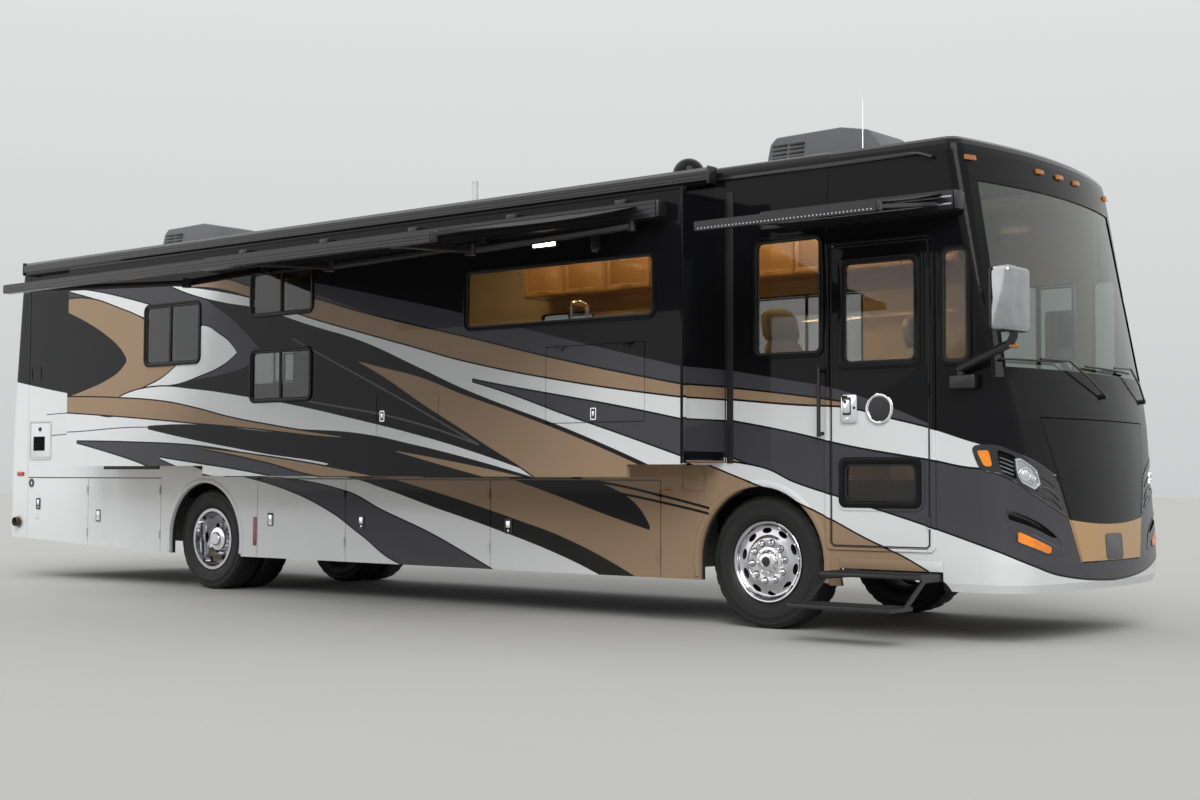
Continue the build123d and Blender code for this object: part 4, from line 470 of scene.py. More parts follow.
def make_livery():
    """Node group with the colour of the swept paint scheme at any point of the body."""
    tree = bpy.data.node_groups.new("livery", "ShaderNodeTree")
    tree.interface.new_socket("Color", in_out="OUTPUT", socket_type="NodeSocketColor")
    out = tree.nodes.new("NodeGroupOutput")
    g = Graph(tree)
    x, y, z = g.axes(g.place())
    # u runs along the side and on round the corners of the nose and the rear
    rel = g.math("SUBTRACT", x, FRONT_AXLE_X)
    inward = g.math("MAXIMUM", g.math("SUBTRACT", HALF_W, g.math("ABSOLUTE", y)), 0.0)
    ahead = g.product(inward, g.above(rel, 0.5))
    behind = g.product(inward, g.below(rel, -9.5))
    u = g.math("SUBTRACT", g.math("ADD", rel, ahead), behind)

    def paint(colour, bands, lines=()):
        for tint, upper, lower in bands:
            inner, outer = band_mask(g, u, z, upper, lower, PIN)
            colour = g.mix(outer, colour, BLACK)
            colour = g.mix(inner, colour, tint)
        for tint, width, points in lines:
            upper = tuple((px, pz + width / 2) for px, pz in points)
            lower = tuple((px, pz - width / 2) for px, pz in points)
            colour = g.mix(band_mask(g, u, z, upper, lower, 0.0)[0], colour, tint)
        return colour

    high = paint(BLACK, HIGH_BANDS, LINES)
    low = paint(TAN, LOW_BANDS, LOW_LINES)
    low_side = g.product(g.below(z, 1.30), g.below(u, 1.4))
    under = g.mix(low_side, BLACK, TAN)
    front = paint(under, FRONT_BANDS)
    body = g.mix(g.below(z, SKIRT_TOP_Z), high, low)
    is_front = g.above(u, g.between(z, 1.198, 1.20, -0.80, -0.281))
    front_low = g.mix(g.below(u, -0.3), front, low)
    front = g.mix(g.below(z, FRONT_SKIRT_TOP_Z), front, front_low)
    colour = g.mix(is_front, body, front)
    # Hood: black above its gold lower panel
    hood = g.product(g.above(u, g.between(z, 0.41, 1.52, 2.94, 2.37)), g.below(z, 1.55))
    hood = g.product(hood, g.above(z, 0.535))
    dip = g.math("MULTIPLY_ADD", g.product(y, y), 0.10, 0.790)
    gold = g.mix(g.below(z, dip), BLACK, HOOD_GOLD)
    colour = g.mix(hood, colour, gold)
    g.link(colour, out.inputs[0])
    return tree


livery = make_livery()
THREAD_TURNS = 900.0


def inside_mask(g, x, y, z):
    """1 on faces that look into the coach, the bays or the slide-out's room."""
    rel = g.math("SUBTRACT", x, FRONT_AXLE_X)
    room = g.product(g.above(rel, -8.035), g.below(rel, -0.345), g.above(y, -1.737), g.below(y, -1.225),
                     g.math("COMPARE", z, 2.185, 0.96))
    coach = g.product(g.above(rel, -9.69), g.below(rel, 1.55), g.below(g.math("ABSOLUTE", y), 1.19),
                      g.below(z, 3.395))
    return g.math("MAXIMUM", coach, room)


def paint_material(name, fixed=None):
    """Clear-coated paint with the swept scheme, faint orange peel and road film low down."""
    mat, g, place = new_material(name)
    if fixed:
        colour = g.mix(g.between(g.noise(place, 3.0), 0.3, 0.7), scaled(fixed, 0.96), fixed)
    else:
        colour = g.node("ShaderNodeGroup", node_tree=livery).outputs[0]
    x, y, z = g.axes(place)
    film = g.product(g.between(z, 0.3, 0.9, 0.16, 0.0), g.noise(place, 6.0, 5.0))
    colour = g.mix(film, colour, (0.20, 0.18, 0.155))
    lining = g.mix(g.above(z, 1.08), (0.035, 0.034, 0.033), (0.52, 0.44, 0.33))
    set_look(g, g.mix(inside_mask(g, x, y, z), colour, lining),
             g.between(g.noise(place, 14.0, 4.0), 0.3, 0.8, 0.16, 0.26),
             g.bump(g.noise(place, 55.0, 2.0), 0.04, 0.0008), Coat_Weight=0.6, Coat_Roughness=0.03, Coat_IOR=1.27,
             Specular_IOR_Level=0.03)
    return mat


def wheel_material():
    """Polished aluminium, painted dark and rough behind the face of the wheel as shade."""
    mat, g, place = new_material("polished_alu")
    x, y, z = g.axes(place)
    cloudy = g.noise(place, 20.0, 4.0)
    # Painted shade: inboard of the wheel's face the metal turns dark, rough and less metallic; on the rear wheels the
    # line sits 0.20 further in.
    reach = g.math("ADD", g.math("ABSOLUTE", y), g.product(g.below(x, 0.0), 0.20))
    deep = g.between(reach, 1.02, 1.06, 1.0, 0.0)
    colour = g.mix(cloudy, (0.60, 0.60, 0.62), (0.68, 0.68, 0.70))
    set_look(g, g.mix(deep, colour, (0.050, 0.046, 0.042)),
             g.math("MAXIMUM", g.between(cloudy, 0.3, 0.7, 0.07, 0.13), g.product(deep, 0.7)),
             g.bump(g.noise(place, 350.0, 2.0), 0.02, 0.0006), Metallic=g.between(deep, 0, 1, 1.0, 0.3))
    return mat


# ---------------------------------------------------------------- materials
M = {
    "paint": paint_material("paint"),
    "white_paint": paint_material("white_paint", PEARL),
    "charcoal_paint": paint_material("charcoal_paint", CHARCOAL),
    "mirror_chrome": finish("mirror_chrome", (0.40, 0.41, 0.42), 0.09, metallic=1.0, spread=0.12, scale=6,
                                     grain=200),
    "bezel": finish("lamp_bezel", (0.014, 0.014, 0.016), 0.25, coat=0.3, grain=200, bump=0.04),
    "bowl": finish("lamp_bowl_dark", (0.52, 0.53, 0.55), 0.12, metallic=1.0, spread=0.3, scale=70, grain=90),
    "satin": finish("satin_edge", (0.22, 0.22, 0.235), 0.30, metallic=1.0, spread=0.08, grain=300),
    "amber": finish("amber_lens", (0.95, 0.27, 0.008), 0.16, coat=0.6, spread=0.10, scale=30, grain=240,
                             bump=0.12),
    "black_paint": paint_material("black_paint", BLACK),
    "roof": finish("roof_skin", (0.012, 0.012, 0.013), 0.30, coat=0.4, grain=90, bump=0.06),
    "white_plastic": finish("white_plastic", (0.60, 0.60, 0.585), 0.42, grain=160, bump=0.08, spread=0.07),
    "grey_plastic": finish("grey_plastic", (0.075, 0.076, 0.08), 0.40, grain=160, bump=0.1),
    "trim": finish("black_trim", (0.012, 0.012, 0.013), 0.32, grain=420, bump=0.08, coat=0.15),
    "rubber": finish("rubber", (0.018, 0.018, 0.018), 0.68, grain=500, bump=0.14, specular=0.3),
    "chassis": finish("chassis_black", (0.022, 0.021, 0.02), 0.55, scale=5.0, spread=0.5, grain=120, bump=0.2),
    "iron": finish("knuckle_iron", (0.07, 0.06, 0.05), 0.6, metallic=0.6, scale=14, spread=0.4, grain=80,
                            bump=0.3),
    "engine": finish("engine_grey", (0.10, 0.10, 0.10), 0.6, metallic=0.5, scale=6, spread=0.3, bump=0.3),
    "alu_black": finish("powder_black", (0.016, 0.016, 0.018), 0.34, metallic=0.2, grain=260, bump=0.06,
                                 coat=0.2, streak=(1.0, 8.0, 8.0)),
    "alu": finish("brushed_alu", (0.55, 0.55, 0.57), 0.28, metallic=1.0, spread=0.06, grain=300, bump=0.04),
    "polish": wheel_material(),
    "chrome": finish("chrome", (0.86, 0.86, 0.87), 0.045, metallic=1.0, spread=0.03, grain=90, bump=0.01),
    "bay": finish("bay_lining", (0.16, 0.16, 0.16), 0.7, grain=60, bump=0.25),
    "dash": finish("dash_plastic", (0.055, 0.05, 0.045), 0.55, grain=380, bump=0.25),
    "reflector": finish("lamp_bowl", (0.75, 0.76, 0.78), 0.08, metallic=1.0, spread=0.1, scale=60, grain=90,
                                 bump=0.05),
    "housing": finish("lamp_housing", (0.012, 0.012, 0.013), 0.30, coat=0.2, grain=200, bump=0.04),
    # Matt near-black, darker than the black trim: painted shade for the lamp recesses, the slot above the lower vent
    # and the rear service vent.
    "painted_shade": finish("painted_shade_black", (0.003, 0.003, 0.003), 0.75, grain=200, bump=0.1, specular=0.1),
    "steel": finish("heated_steel", (0.42, 0.33, 0.26), 0.30, metallic=1.0, spread=0.2, scale=40, grain=200),
    "red": finish("red_reflector", (0.42, 0.012, 0.01), 0.18, coat=0.6, grain=700, bump=0.3, depth=0.001),
}


def wood_material():
    mat, g, place = new_material("amber_wood")
    place = g.texture("ShaderNodeMapping", place, {"Scale": (3.0, 14.0, 14.0)})[0]
    wave = g.texture("ShaderNodeTexWave", place, {"Scale": 1.3, "Distortion": 5.0, "Detail": 3.0},
                     wave_type="BANDS", bands_direction="Z")["Fac"]
    set_look(g, g.mix(wave, (0.34, 0.175, 0.065), (0.50, 0.29, 0.115)), g.between(wave, 0, 1, 0.28, 0.4),
             g.bump(wave, 0.08, 0.0006), Coat_Weight=0.35)
    return mat


def leather_material(name, colour):
    mat, g, place = new_material(name)
    cells = g.texture("ShaderNodeTexVoronoi", place, {"Scale": 260.0}, feature="DISTANCE_TO_EDGE")
    cloudy = g.noise(place, 7.0, 4.0)
    set_look(g, g.mix(cloudy, scaled(colour, 0.82), colour), g.between(cloudy, 0.3, 0.7, 0.42, 0.58),
             g.bump(cells["Distance"], 0.25, 0.0012))
    return mat


def cloth_material(name, colour):
    """Woven cloth: two crossed sets of threads."""
    mat, g, place = new_material(name)
    x, y, z = g.axes(place)
    warp, weft = (g.math("SINE", g.product(axis, THREAD_TURNS)) for axis in (x, y))
    weave = g.math("MULTIPLY_ADD", g.product(warp, weft), 0.5, 0.5)
    cloudy = g.noise(place, 4.0, 5.0)
    tint = g.mix(cloudy, scaled(colour, 0.75), scaled(colour, 1.2))
    set_look(g, g.mix(g.product(weave, 0.25), tint, scaled(colour, 0.5)),
             g.between(cloudy, 0.3, 0.7, 0.7, 0.85), g.bump(weave, 0.35, 0.0006), Sheen_Weight=0.2)
    return mat


def glass_material(name, colour, ior=1.45):
    mat, g, place = new_material(name)
    set_look(g, g.mix(g.noise(place, 2.5), scaled(colour, 0.94), colour),
             g.between(g.noise(place, 8.0, 4.0), 0.3, 0.8, 0.01, 0.03),
             g.bump(g.noise(place, 2.2, 1.0), 0.02, 0.002), Transmission_Weight=1.0, IOR=ior)
    return mat


def glow_material(name, colour, strength):
    mat, g, place = new_material(name)
    set_look(g, g.mix(g.noise(place, 60.0), scaled(colour, 0.85), colour),
             g.between(g.noise(place, 30.0), 0, 1, 0.25, 0.45), Emission_Color=colour + (1.0,),
             Emission_Strength=strength)
    return mat


def tyre_material():
    """Worn, dusty rubber."""
    mat, g, place = new_material("tyre_rubber")
    cloudy = g.noise(place, 11.0, 6.0)
    set_look(g, g.mix(cloudy, (0.007, 0.007, 0.007), (0.020, 0.0195, 0.019)),
             g.between(cloudy, 0.3, 0.7, 0.46, 0.66), g.bump(g.noise(place, 300.0, 3.0), 0.2, 0.0008),
             Specular_IOR_Level=0.35)
    return mat


def lens_material():
    """Moulded lenses: red behind, clear headlamps, amber elsewhere."""
    mat, g, place = new_material("lamp_lens")
    x, y, z = g.axes(place)
    head = g.product(g.above(x, at(1.92)), g.below(z, 1.30), g.above(z, 0.95))
    ribs = g.texture("ShaderNodeTexWave", place, {"Scale": 60.0}, wave_type="BANDS", bands_direction="Z")["Fac"]
    colour = g.mix(head, (0.95, 0.34, 0.02), (0.93, 0.95, 0.97))
    colour = g.mix(g.below(x, 0.0), colour, (0.55, 0.012, 0.01))
    set_look(g, g.mix(g.product(ribs, 0.12), colour, (0.2, 0.1, 0.05)), g.between(ribs, 0, 1, 0.03, 0.09),
             g.bump(ribs, 0.06, 0.001), Transmission_Weight=0.75, IOR=1.49, Coat_Weight=0.5)
    return mat


def floor_board_material():
    mat, g, place = new_material("floor_board")
    boards = g.texture("ShaderNodeTexBrick", place, {
        "Scale": 4.0, "Color1": (0.20, 0.12, 0.06, 1), "Color2": (0.27, 0.17, 0.09, 1),
        "Mortar": (0.06, 0.04, 0.02, 1), "Mortar Size": 0.008})
    set_look(g, g.mix(g.noise(place, 18.0, 5.0), boards["Color"], (0.16, 0.10, 0.05)),
             g.between(g.noise(place, 9.0), 0.3, 0.7, 0.35, 0.5))
    return mat


M["wood"] = wood_material()
M["leather"] = leather_material("seat_leather", (0.43, 0.385, 0.33))
M["cloth"] = cloth_material("awning_cloth", (0.035, 0.035, 0.038))
M["tyre"] = tyre_material()
M["lens"] = lens_material()
M["board"] = floor_board_material()
M["clear_glass"] = glass_material("clear_glass", (0.36, 0.43, 0.40), ior=1.68)
M["dark_glass"] = glass_material("dark_glass", (0.40, 0.41, 0.41))
M["tinted_glass"] = glass_material("tinted_glass", (0.50, 0.51, 0.50))
M["mirror"] = finish("mirror_glass", (0.85, 0.86, 0.87), 0.02, metallic=1.0, spread=0.02, grain=60, bump=0.01)
M["lamp_warm"] = glow_material("lamp_warm", (1.0, 0.71, 0.33), 32.0)
M["counter"] = finish("stone_counter", (0.55, 0.50, 0.43), 0.25, scale=40, spread=0.2, grain=200, coat=0.3)
M["leather_black"] = leather_material("black_leather", (0.02, 0.02, 0.02))
M["lamp_white"] = glow_material("lamp_white", (1.0, 0.86, 0.66), 9.0)

NODE_LOOKS = {
    "paint": ("side_walls", "skirts", "front_cap", "rear_cap", "hood", "slide_room", "slide_hatch", "entry_door",
              "engine_hatch", "roof"),
    "grey_plastic": ("roof_units",),
    "clear_glass": ("windshield",),
    "tinted_glass": ("entry_door_glass", "side_glass"),
    "dark_glass": ("slide_glass",),
    "trim": ("window_frames", "slide_frames", "wipers", "grab_handle", "entry_steps", "mirrors"),
    "chassis": ("chassis_frame", "front_axle", "rear_axle", "hitch_receiver"),
    "engine": ("engine_block",),
    "tyre": ("front_left_tyre", "front_right_tyre", "rear_left_tyres", "rear_right_tyres"),
    "polish": ("front_left_rim", "front_right_rim", "rear_left_rims", "rear_right_rims"),
    "iron": ("front_left_knuckle", "front_right_knuckle"),
    "alu_black": ("awning_case", "awning_arms", "door_awning", "topper_case"),
    "cloth": ("awning_canopy", "door_canopy"),
    "lens": ("lamps",),
    "housing": ("lamp_housings",),
    "wood": ("kitchen_unit", "cabinets"),
    "leather": ("cab_seats",),
    "dash": ("dashboard",),
    "board": ("floor",),
    "bay": ("bays_lining",),
}
NODE_LOOKS["paint"] += tuple(name for name in nodes if "bay_door" in name)
for look, names in NODE_LOOKS.items():
    for name in names:
        for slot in nodes[name].material_slots:
            slot.material = M[look]


# ---------------------------------------------------------------- tyres and wheels
TYRE_R = 0.490
TYRE_MID_Y = 0.997
TWIN_MID_Y = 0.667
RIB_EDGES = (0.0, 0.017, 0.025, 0.055, 0.063, 0.100)
GROOVE = 0.0125
NOTCH = 0.006
# Half section of a tyre from the bead to the shoulder: radius, half width
TYRE_WALL = (
    (0.285, 0.097), (0.291, 0.104), (0.303, 0.112), (0.312, 0.1225), (0.318, 0.127), (0.323, 0.1285),
    (0.328, 0.1325), (0.350, 0.1395), (0.375, 0.1425), (0.398, 0.1428), (0.404, 0.1442), (0.408, 0.1442),
    (0.413, 0.1415), (0.432, 0.1375), (0.448, 0.1335), (0.4515, 0.1345), (0.4555, 0.1345), (0.459, 0.1305),
    (0.470, 0.126), (0.481, 0.118), (0.4865, 0.108),
)


def add_tyre(bm, x, y, side, segments=180):
    """Road tyre with ribbed walls, four tread grooves and notched shoulders."""
    half = list(TYRE_WALL)
    for k in range(len(RIB_EDGES) - 1, 0, -1):
        lo, hi = RIB_EDGES[k - 1], RIB_EDGES[k]
        if k % 2 == 1:
            half += [(TYRE_R - 0.0005 * k, hi), (TYRE_R - 0.0005 * k, lo + 1e-4 * (lo == 0))]
        else:
            half += [(TYRE_R - GROOVE, hi - 0.0015), (TYRE_R - GROOVE, lo + 0.0015)]
    rings = []
    for k in range(segments):
        a = 2 * pi * k / segments
        ring = []
        for r, w in half + [(r, -w) for r, w in reversed(half)]:
            if k % 6 in (0, 1) and abs(w) > 0.066 and r > 0.468:
                r -= NOTCH
            ring.append(bm.verts.new((x + r * cos(a), y + side * w, TYRE_R + r * sin(a))))
        rings.append(ring)
    join_rings(bm, rings, along=True)


FACE_FRONT = (
    (0.2705, 0.112), (0.266, 0.098), (0.256, 0.090), (0.243, 0.0885), (0.205, 0.0925), (0.182, 0.1000),
    (0.176, 0.1045), (0.168, 0.1060), (0.116, 0.1060), (0.112, 0.1040), (0.112, 0.086), (0.250, 0.0846),
    (0.2700, 0.092), (0.2705, 0.112),
)
RIM_FRONT = (
    (0.270, -0.124), (0.296, -0.124), (0.298, -0.122), (0.298, -0.114), (0.284, -0.110), (0.284, 0.110),
    (0.298, 0.114), (0.298, 0.122), (0.294, 0.1245), (0.284, 0.1225), (0.2785, 0.118), (0.2745, 0.110),
    (0.270, 0.104), (0.270, -0.124),
)
HUB_FRONT = (
    (0.1125, 0.095), (0.1125, 0.1065), (0.110, 0.1085), (0.092, 0.1085), (0.086, 0.111), (0.083, 0.120),
    (0.078, 0.131), (0.068, 0.1385), (0.054, 0.1425), (0.038, 0.1440), (0.036, 0.1425), (0.0, 0.1425),
)
HUB_REAR = (
    (0.112, 0.030), (0.1125, 0.054), (0.108, 0.061), (0.070, 0.064), (0.062, 0.069), (0.060, 0.086), (0.054, 0.092),
    (0.0, 0.0925),
)
HUB_CAP = ((0.0355, 0.1426), (0.0350, 0.1442), (0.020, 0.1450), (0.0, 0.1452))
NUT = ((0.0215, 0), (0.0215, 0.004), (0.0175, 0.006), (0.0165, 0.030), (0.0125, 0.043), (0.006, 0.0475), (0.0, 0.048))
# Dark ring under each nut cover: painted shade round the nuts.
NUT_SHADE_RING = ((0.0275, 0), (0.0265, 0.0016), (0.0200, 0.0018))
NUT_COUNT = 10


def cut_holes(obj, cutter_bm):
    """Take the solids of cutter_bm out of obj."""
    cutter = piece("hole_cutter", cutter_bm, None, None, smooth=False)
    modifier = obj.modifiers.new("holes", "BOOLEAN")
    modifier.operation = "DIFFERENCE"
    modifier.object = cutter
    modifier.solver = "EXACT"
    graph = bpy.context.evaluated_depsgraph_get()
    mesh = bpy.data.meshes.new_from_object(obj.evaluated_get(graph))
    obj.modifiers.clear()
    obj.data = mesh
    bpy.data.objects.remove(cutter)
    smooth_by_angle(mesh)


def add_nuts(bm, profile, hub, side, circle_r, seat, segments):
    """Nut covers, or the dark rings painted as shade under them, in a circle round a hub, turned from profile and
    standing on the depth seat.
    """
    for k in range(NUT_COUNT):
        a = 2 * pi * (k + 1 / 6) / NUT_COUNT
        centre = (hub[0] + circle_r * cos(a), hub[1], hub[2] + circle_r * sin(a))
        add_lathe(bm, [(r, seat + h) for r, h in profile], centre, side, segments)


for label, side in SIDES:
    body = "front_" + label + "_wheel"
    hub = (FRONT_AXLE_X, side * TYRE_MID_Y, TYRE_R)
    tyre = make("front_" + label + "_tyre_tread", "tyre", body, "tyre", (add_tyre, *hub[:2], side))
    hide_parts("front_" + label + "_tyre")
    face = make("front_" + label + "_wheel_face", "polish", body, "rim_metal", (add_lathe, FACE_FRONT, hub, side, 120))
    rim = make("front_" + label + "_wheel_barrel", "polish", body, "rim_metal", (add_lathe, RIM_FRONT, hub, side, 120))
    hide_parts("front_" + label + "_rim")
    holes = bmesh.new()
    for k in range(10):
        a = radians(36 * k - 12)
        part = bmesh.ops.create_cone(holes, cap_ends=True, segments=32, radius1=1, radius2=1, depth=0.12)
        oval = Matrix.Rotation(-a, 4, "Y") @ Matrix.Translation((0.229, 0, 0)) @ Matrix.Diagonal((0.0205, 1, 0.042, 1))
        oval = Matrix.Translation((FRONT_AXLE_X, side * (TYRE_MID_Y + 0.09), TYRE_R)) @ oval
        bmesh.ops.transform(holes, matrix=oval @ Matrix.Rotation(radians(90), 4, "X"), verts=part["verts"])
    cut_holes(face, holes)
    make("front_" + label + "_hub_chrome", "chrome", body, "rim_metal", (add_lathe, HUB_FRONT, hub, side, 64),
         (add_nuts, NUT, hub, side, 0.143, 0.106, 16))
    # Dark iron rings under the nuts: painted shade round the nut covers.
    make("front_" + label + "_nut_shade_rings", "iron", body, "rim_metal", (add_nuts, NUT_SHADE_RING, hub, side, 0.143, 0.1061, 20))
    make("front_" + label + "_hub_cap_disc", "housing", body, "rim_metal", (add_lathe, HUB_CAP, hub, side, 40))

    body = "rear_" + label + "_wheels"
    hub = (REAR_AXLE_X, side * TYRE_MID_Y, TYRE_R)
    tyres = make("rear_" + label + "_tyre_treads", "tyre", body, "tyre", (add_tyre, *hub[:2], side),
                 (add_tyre, REAR_AXLE_X, side * TWIN_MID_Y, side))
    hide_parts("rear_" + label + "_tyres")
    make("rear_" + label + "_hub_chrome", "chrome", body, "rim_metal", (add_lathe, HUB_REAR, hub, side, 64),
         (add_nuts, NUT, hub, side, 0.150, -0.071, 16))

# ---------------------------------------------------------------- awning cloths
AWNING_X0 = at(-5.70) + 0.18
AWNING_X1 = AWNING_X0 + 4.90
DOOR_CLOTH_X0 = at(0.11) + 0.05
DOOR_CLOTH_X1 = DOOR_CLOTH_X0 + 1.40
CLOTH_THICK = 0.0012


def canopy(name, x0, x1, start, end, sag, columns, rows):
    """Stretched cloth from start to end, both (y, z), hanging a little in between."""
    bm = bmesh.new()
    grid = []
    for j in range(rows + 1):
        t = j / rows
        line = []
        for i in range(columns + 1):
            s = i / columns
            dip = sag * 4 * t * (1 - t) * (0.85 + 0.15 * cos(2 * pi * s * 3))
            edge = 0.012 * sin(pi * t) * (1 if s == 0 else -1 if s == 1 else 0)
            line.append(bm.verts.new((
                x0 + (x1 - x0) * s + edge,
                start[0] + (end[0] - start[0]) * t,
                start[1] + (end[1] - start[1]) * t - dip,
            )))
        grid.append(line)
    join_rings(bm, grid, around=False)
    bmesh.ops.solidify(bm, geom=list(bm.faces), thickness=CLOTH_THICK)
    return piece(name, bm, "cloth", None)


patio = canopy("patio_canopy", AWNING_X0, AWNING_X1, (-1.9003, 3.078), (-3.985, 2.6615), 0.035, 60, 30)
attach(patio, "slide_out")
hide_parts("awning_canopy")
door_cloth = canopy("door_cloth", DOOR_CLOTH_X0, DOOR_CLOTH_X1, (-1.3453, 3.018), (-2.18, 2.860), 0.015, 30, 16)
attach(door_cloth, "coach")
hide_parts("door_canopy")


# ---------------------------------------------------------------- cab seats
def cushion(name, x0, x1, y0, y1, z0, z1, crown, seams=(), tilt=0.0, pivot=None, power=4.0, cuts=14):
    """Stuffed pad: rounded box that swells between its edges, with sewn channels along X or Z."""
    bm = bmesh.new()
    bmesh.ops.create_cube(bm, size=2.0)
    bmesh.ops.subdivide_edges(bm, edges=list(bm.edges), cuts=cuts, use_grid_fill=True)
    half = Vector(((x1 - x0) / 2, (y1 - y0) / 2, (z1 - z0) / 2))
    middle = Vector(((x0 + x1) / 2, (y0 + y1) / 2, (z0 + z1) / 2))
    for v in bm.verts:
        p = v.co.copy()
        n = (abs(p.x) ** power + abs(p.y) ** power + abs(p.z) ** power) ** (1 / power)
        q = p / n
        swell = 1 - crown * (1 - (1 - abs(q.y) ** 2) * (1 - min(abs(q.x), abs(q.z)) ** 2))
        q = Vector((q.x * swell, q.y, q.z * swell))
        for at_y, width, depth in seams:
            pinch = max(0.0, 1 - abs(q.y - at_y) / width)
            q.x *= 1 - depth * pinch
            q.z *= 1 - depth * pinch
        v.co = Vector(q[k] * half[k] for k in range(3)) + middle
    if tilt:
        bmesh.ops.rotate(bm, verts=bm.verts, cent=Vector(pivot), matrix=Matrix.Rotation(tilt, 3, "Y"))
    obj = piece(name, bm, "leather", "coach")
    return obj


SEATS = (("passenger", 0.150, -0.64), ("driver", 0.660, 0.60))
SEAT_SEAMS = ((-0.42, 0.05, 0.05), (0.42, 0.05, 0.05))
SEAT_LEAN = radians(-11)
for label, seat_x, seat_y in SEATS:
    x = at(seat_x)
    base = cushion(label + "_seat_cushion", x - 0.25, x + 0.275, seat_y - 0.258, seat_y + 0.258, 1.402, 1.565, 0.10,
                   SEAT_SEAMS)
    pivot = (x - 0.20, seat_y, 1.50)
    cushion(label + "_seat_back", x - 0.275, x - 0.135, seat_y - 0.25, seat_y + 0.25, 1.555, 2.205, 0.16, SEAT_SEAMS,
            SEAT_LEAN, pivot)
    cushion(label + "_headrest", x - 0.272, x - 0.142, seat_y - 0.215, seat_y + 0.215, 2.125, 2.425, 0.20, (),
            SEAT_LEAN, pivot)
    for arm, side in SIDES:
        arm_y = seat_y + side * 0.295
        cushion(label + "_armrest_" + arm, x - 0.235, x + 0.16, arm_y - 0.03, arm_y + 0.03, 1.662, 1.728, 0.15, (),
                power=3.0, cuts=8)
    make(label + "_seat_pedestal", "grey_plastic", "coach", "dash_plastic",
         (add_box, x - 0.17, x + 0.17, seat_y - 0.17, seat_y + 0.17, 1.0905, 1.40, 0.03, 3),
         *((add_box, x - 0.225, x - 0.175, seat_y + side * 0.262, seat_y + side * 0.30, 1.45, 1.68, 0.01)
           for side in (-1, 1)))
    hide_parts("cab_seats")

# ---------------------------------------------------------------- skin of the front cap
# Levels of the front cap: height, nose ahead of the front axle, half width, corner radius
CAP_ROWS = (
    (0.345, 2.148, 1.196, 0.290),
    (0.540, 2.181, 1.220, 0.300),
    (0.830, 2.161, 1.220, 0.290),
    (1.180, 2.134, 1.220, 0.270),
    (1.510, 2.104, 1.220, 0.200),
    (1.780, 2.060, 1.220, 0.140),
    (3.340, 1.768, 1.220, 0.110),
    (3.450, 1.650, 1.110, 0.080),
)
NOSE_R = 4.76


def cap_plan(z):
    """Nose arc centre, corner centre and touching point of the plan outline at height z."""
    for low, high in zip(CAP_ROWS, CAP_ROWS[1:]):
        if z <= high[0]:
            break
    t = (z - low[0]) / (high[0] - low[0])
    nose, half, r = (low[k] + (high[k] - low[k]) * t for k in (1, 2, 3))
    centre_x = at(nose) - NOSE_R
    corner_y = half - r
    corner_x = centre_x + sqrt((NOSE_R - r) ** 2 - corner_y ** 2)
    return centre_x, corner_x, corner_y, r, half, corner_y * NOSE_R / (NOSE_R - r)


def cap_by_y(y, z, out=0.0):
    """Point of the cap's front at y and z, pushed out from the skin."""
    centre_x, corner_x, corner_y, r, half, touch_y = cap_plan(z)
    side = -1 if y < 0 else 1
    y = min(abs(y), half)
    if y > touch_y:
        centre, radius = (corner_x, corner_y), r
    else:
        centre, radius = (centre_x, 0.0), NOSE_R
    x = centre[0] + sqrt(max(radius ** 2 - (y - centre[1]) ** 2, 0.0))
    away = Vector((x - centre[0], y - centre[1])) / radius
    return Vector((x + away.x * out, side * (y + away.y * out), z))


def add_strip(bm, points, width, place, d0, d1):
    """Flat bead of even width along points of (u, v)."""
    left, other = [], []
    for k, (u, v) in enumerate(points):
        a, b = points[max(k - 1, 0)], points[min(k + 1, len(points) - 1)]
        n = Vector((a[1] - b[1], b[0] - a[0])).normalized() * width / 2
        left.append((u + n.x, v + n.y))
        other.append((u - n.x, v - n.y))
    rows = [[bm.verts.new(place(u, v, d)) for u, v in line] for line, d in (
        (left, d0), (left, d1), (other, d1), (other, d0))]
    join_rings(bm, rows, around=False, along=True)
    for k in (0, -1):
        bm.faces.new([row[k] for row in rows])


# ---------------------------------------------------------------- windows
# Span ahead of the front axle, heights, and where its bars stand as shares of the span
SLIDE_WINDOWS = (
    (-6.765, -5.940, 2.180, 2.722, (0.46,)),
    (-5.160, -4.345, 2.560, 2.926, (0.50,)),
    (-5.155, -4.360, 1.790, 2.218, (0.50,)),
    (-2.455, -0.557, 2.295, 2.735, ()),
)
RIGHT_WINDOWS = ((-0.030, 0.526, 2.003, 2.828, ()), (1.505, 1.685, 1.900, 2.655, ()))
DOOR_WINDOWS = ((0.686, 1.333, 1.872, 2.660, ()), (0.688, 1.330, 0.905, 1.243, ()))
LEFT_WINDOWS = (
    (-8.900, -8.100, 2.180, 2.722, (0.5,)),
    (-6.900, -5.900, 2.180, 2.722, (0.5,)),
    (-4.300, -3.600, 2.295, 2.735, (0.5,)),
    (-2.455, -0.557, 2.003, 2.735, (0.34, 0.68)),
    (0.700, 1.370, 1.900, 2.655, (0.5,)),
    (1.505, 1.685, 1.900, 2.655, ()),
)
WINDOW_R = 0.045
# How far the panes lie behind the wall's face
PANE_OUT = 0.006


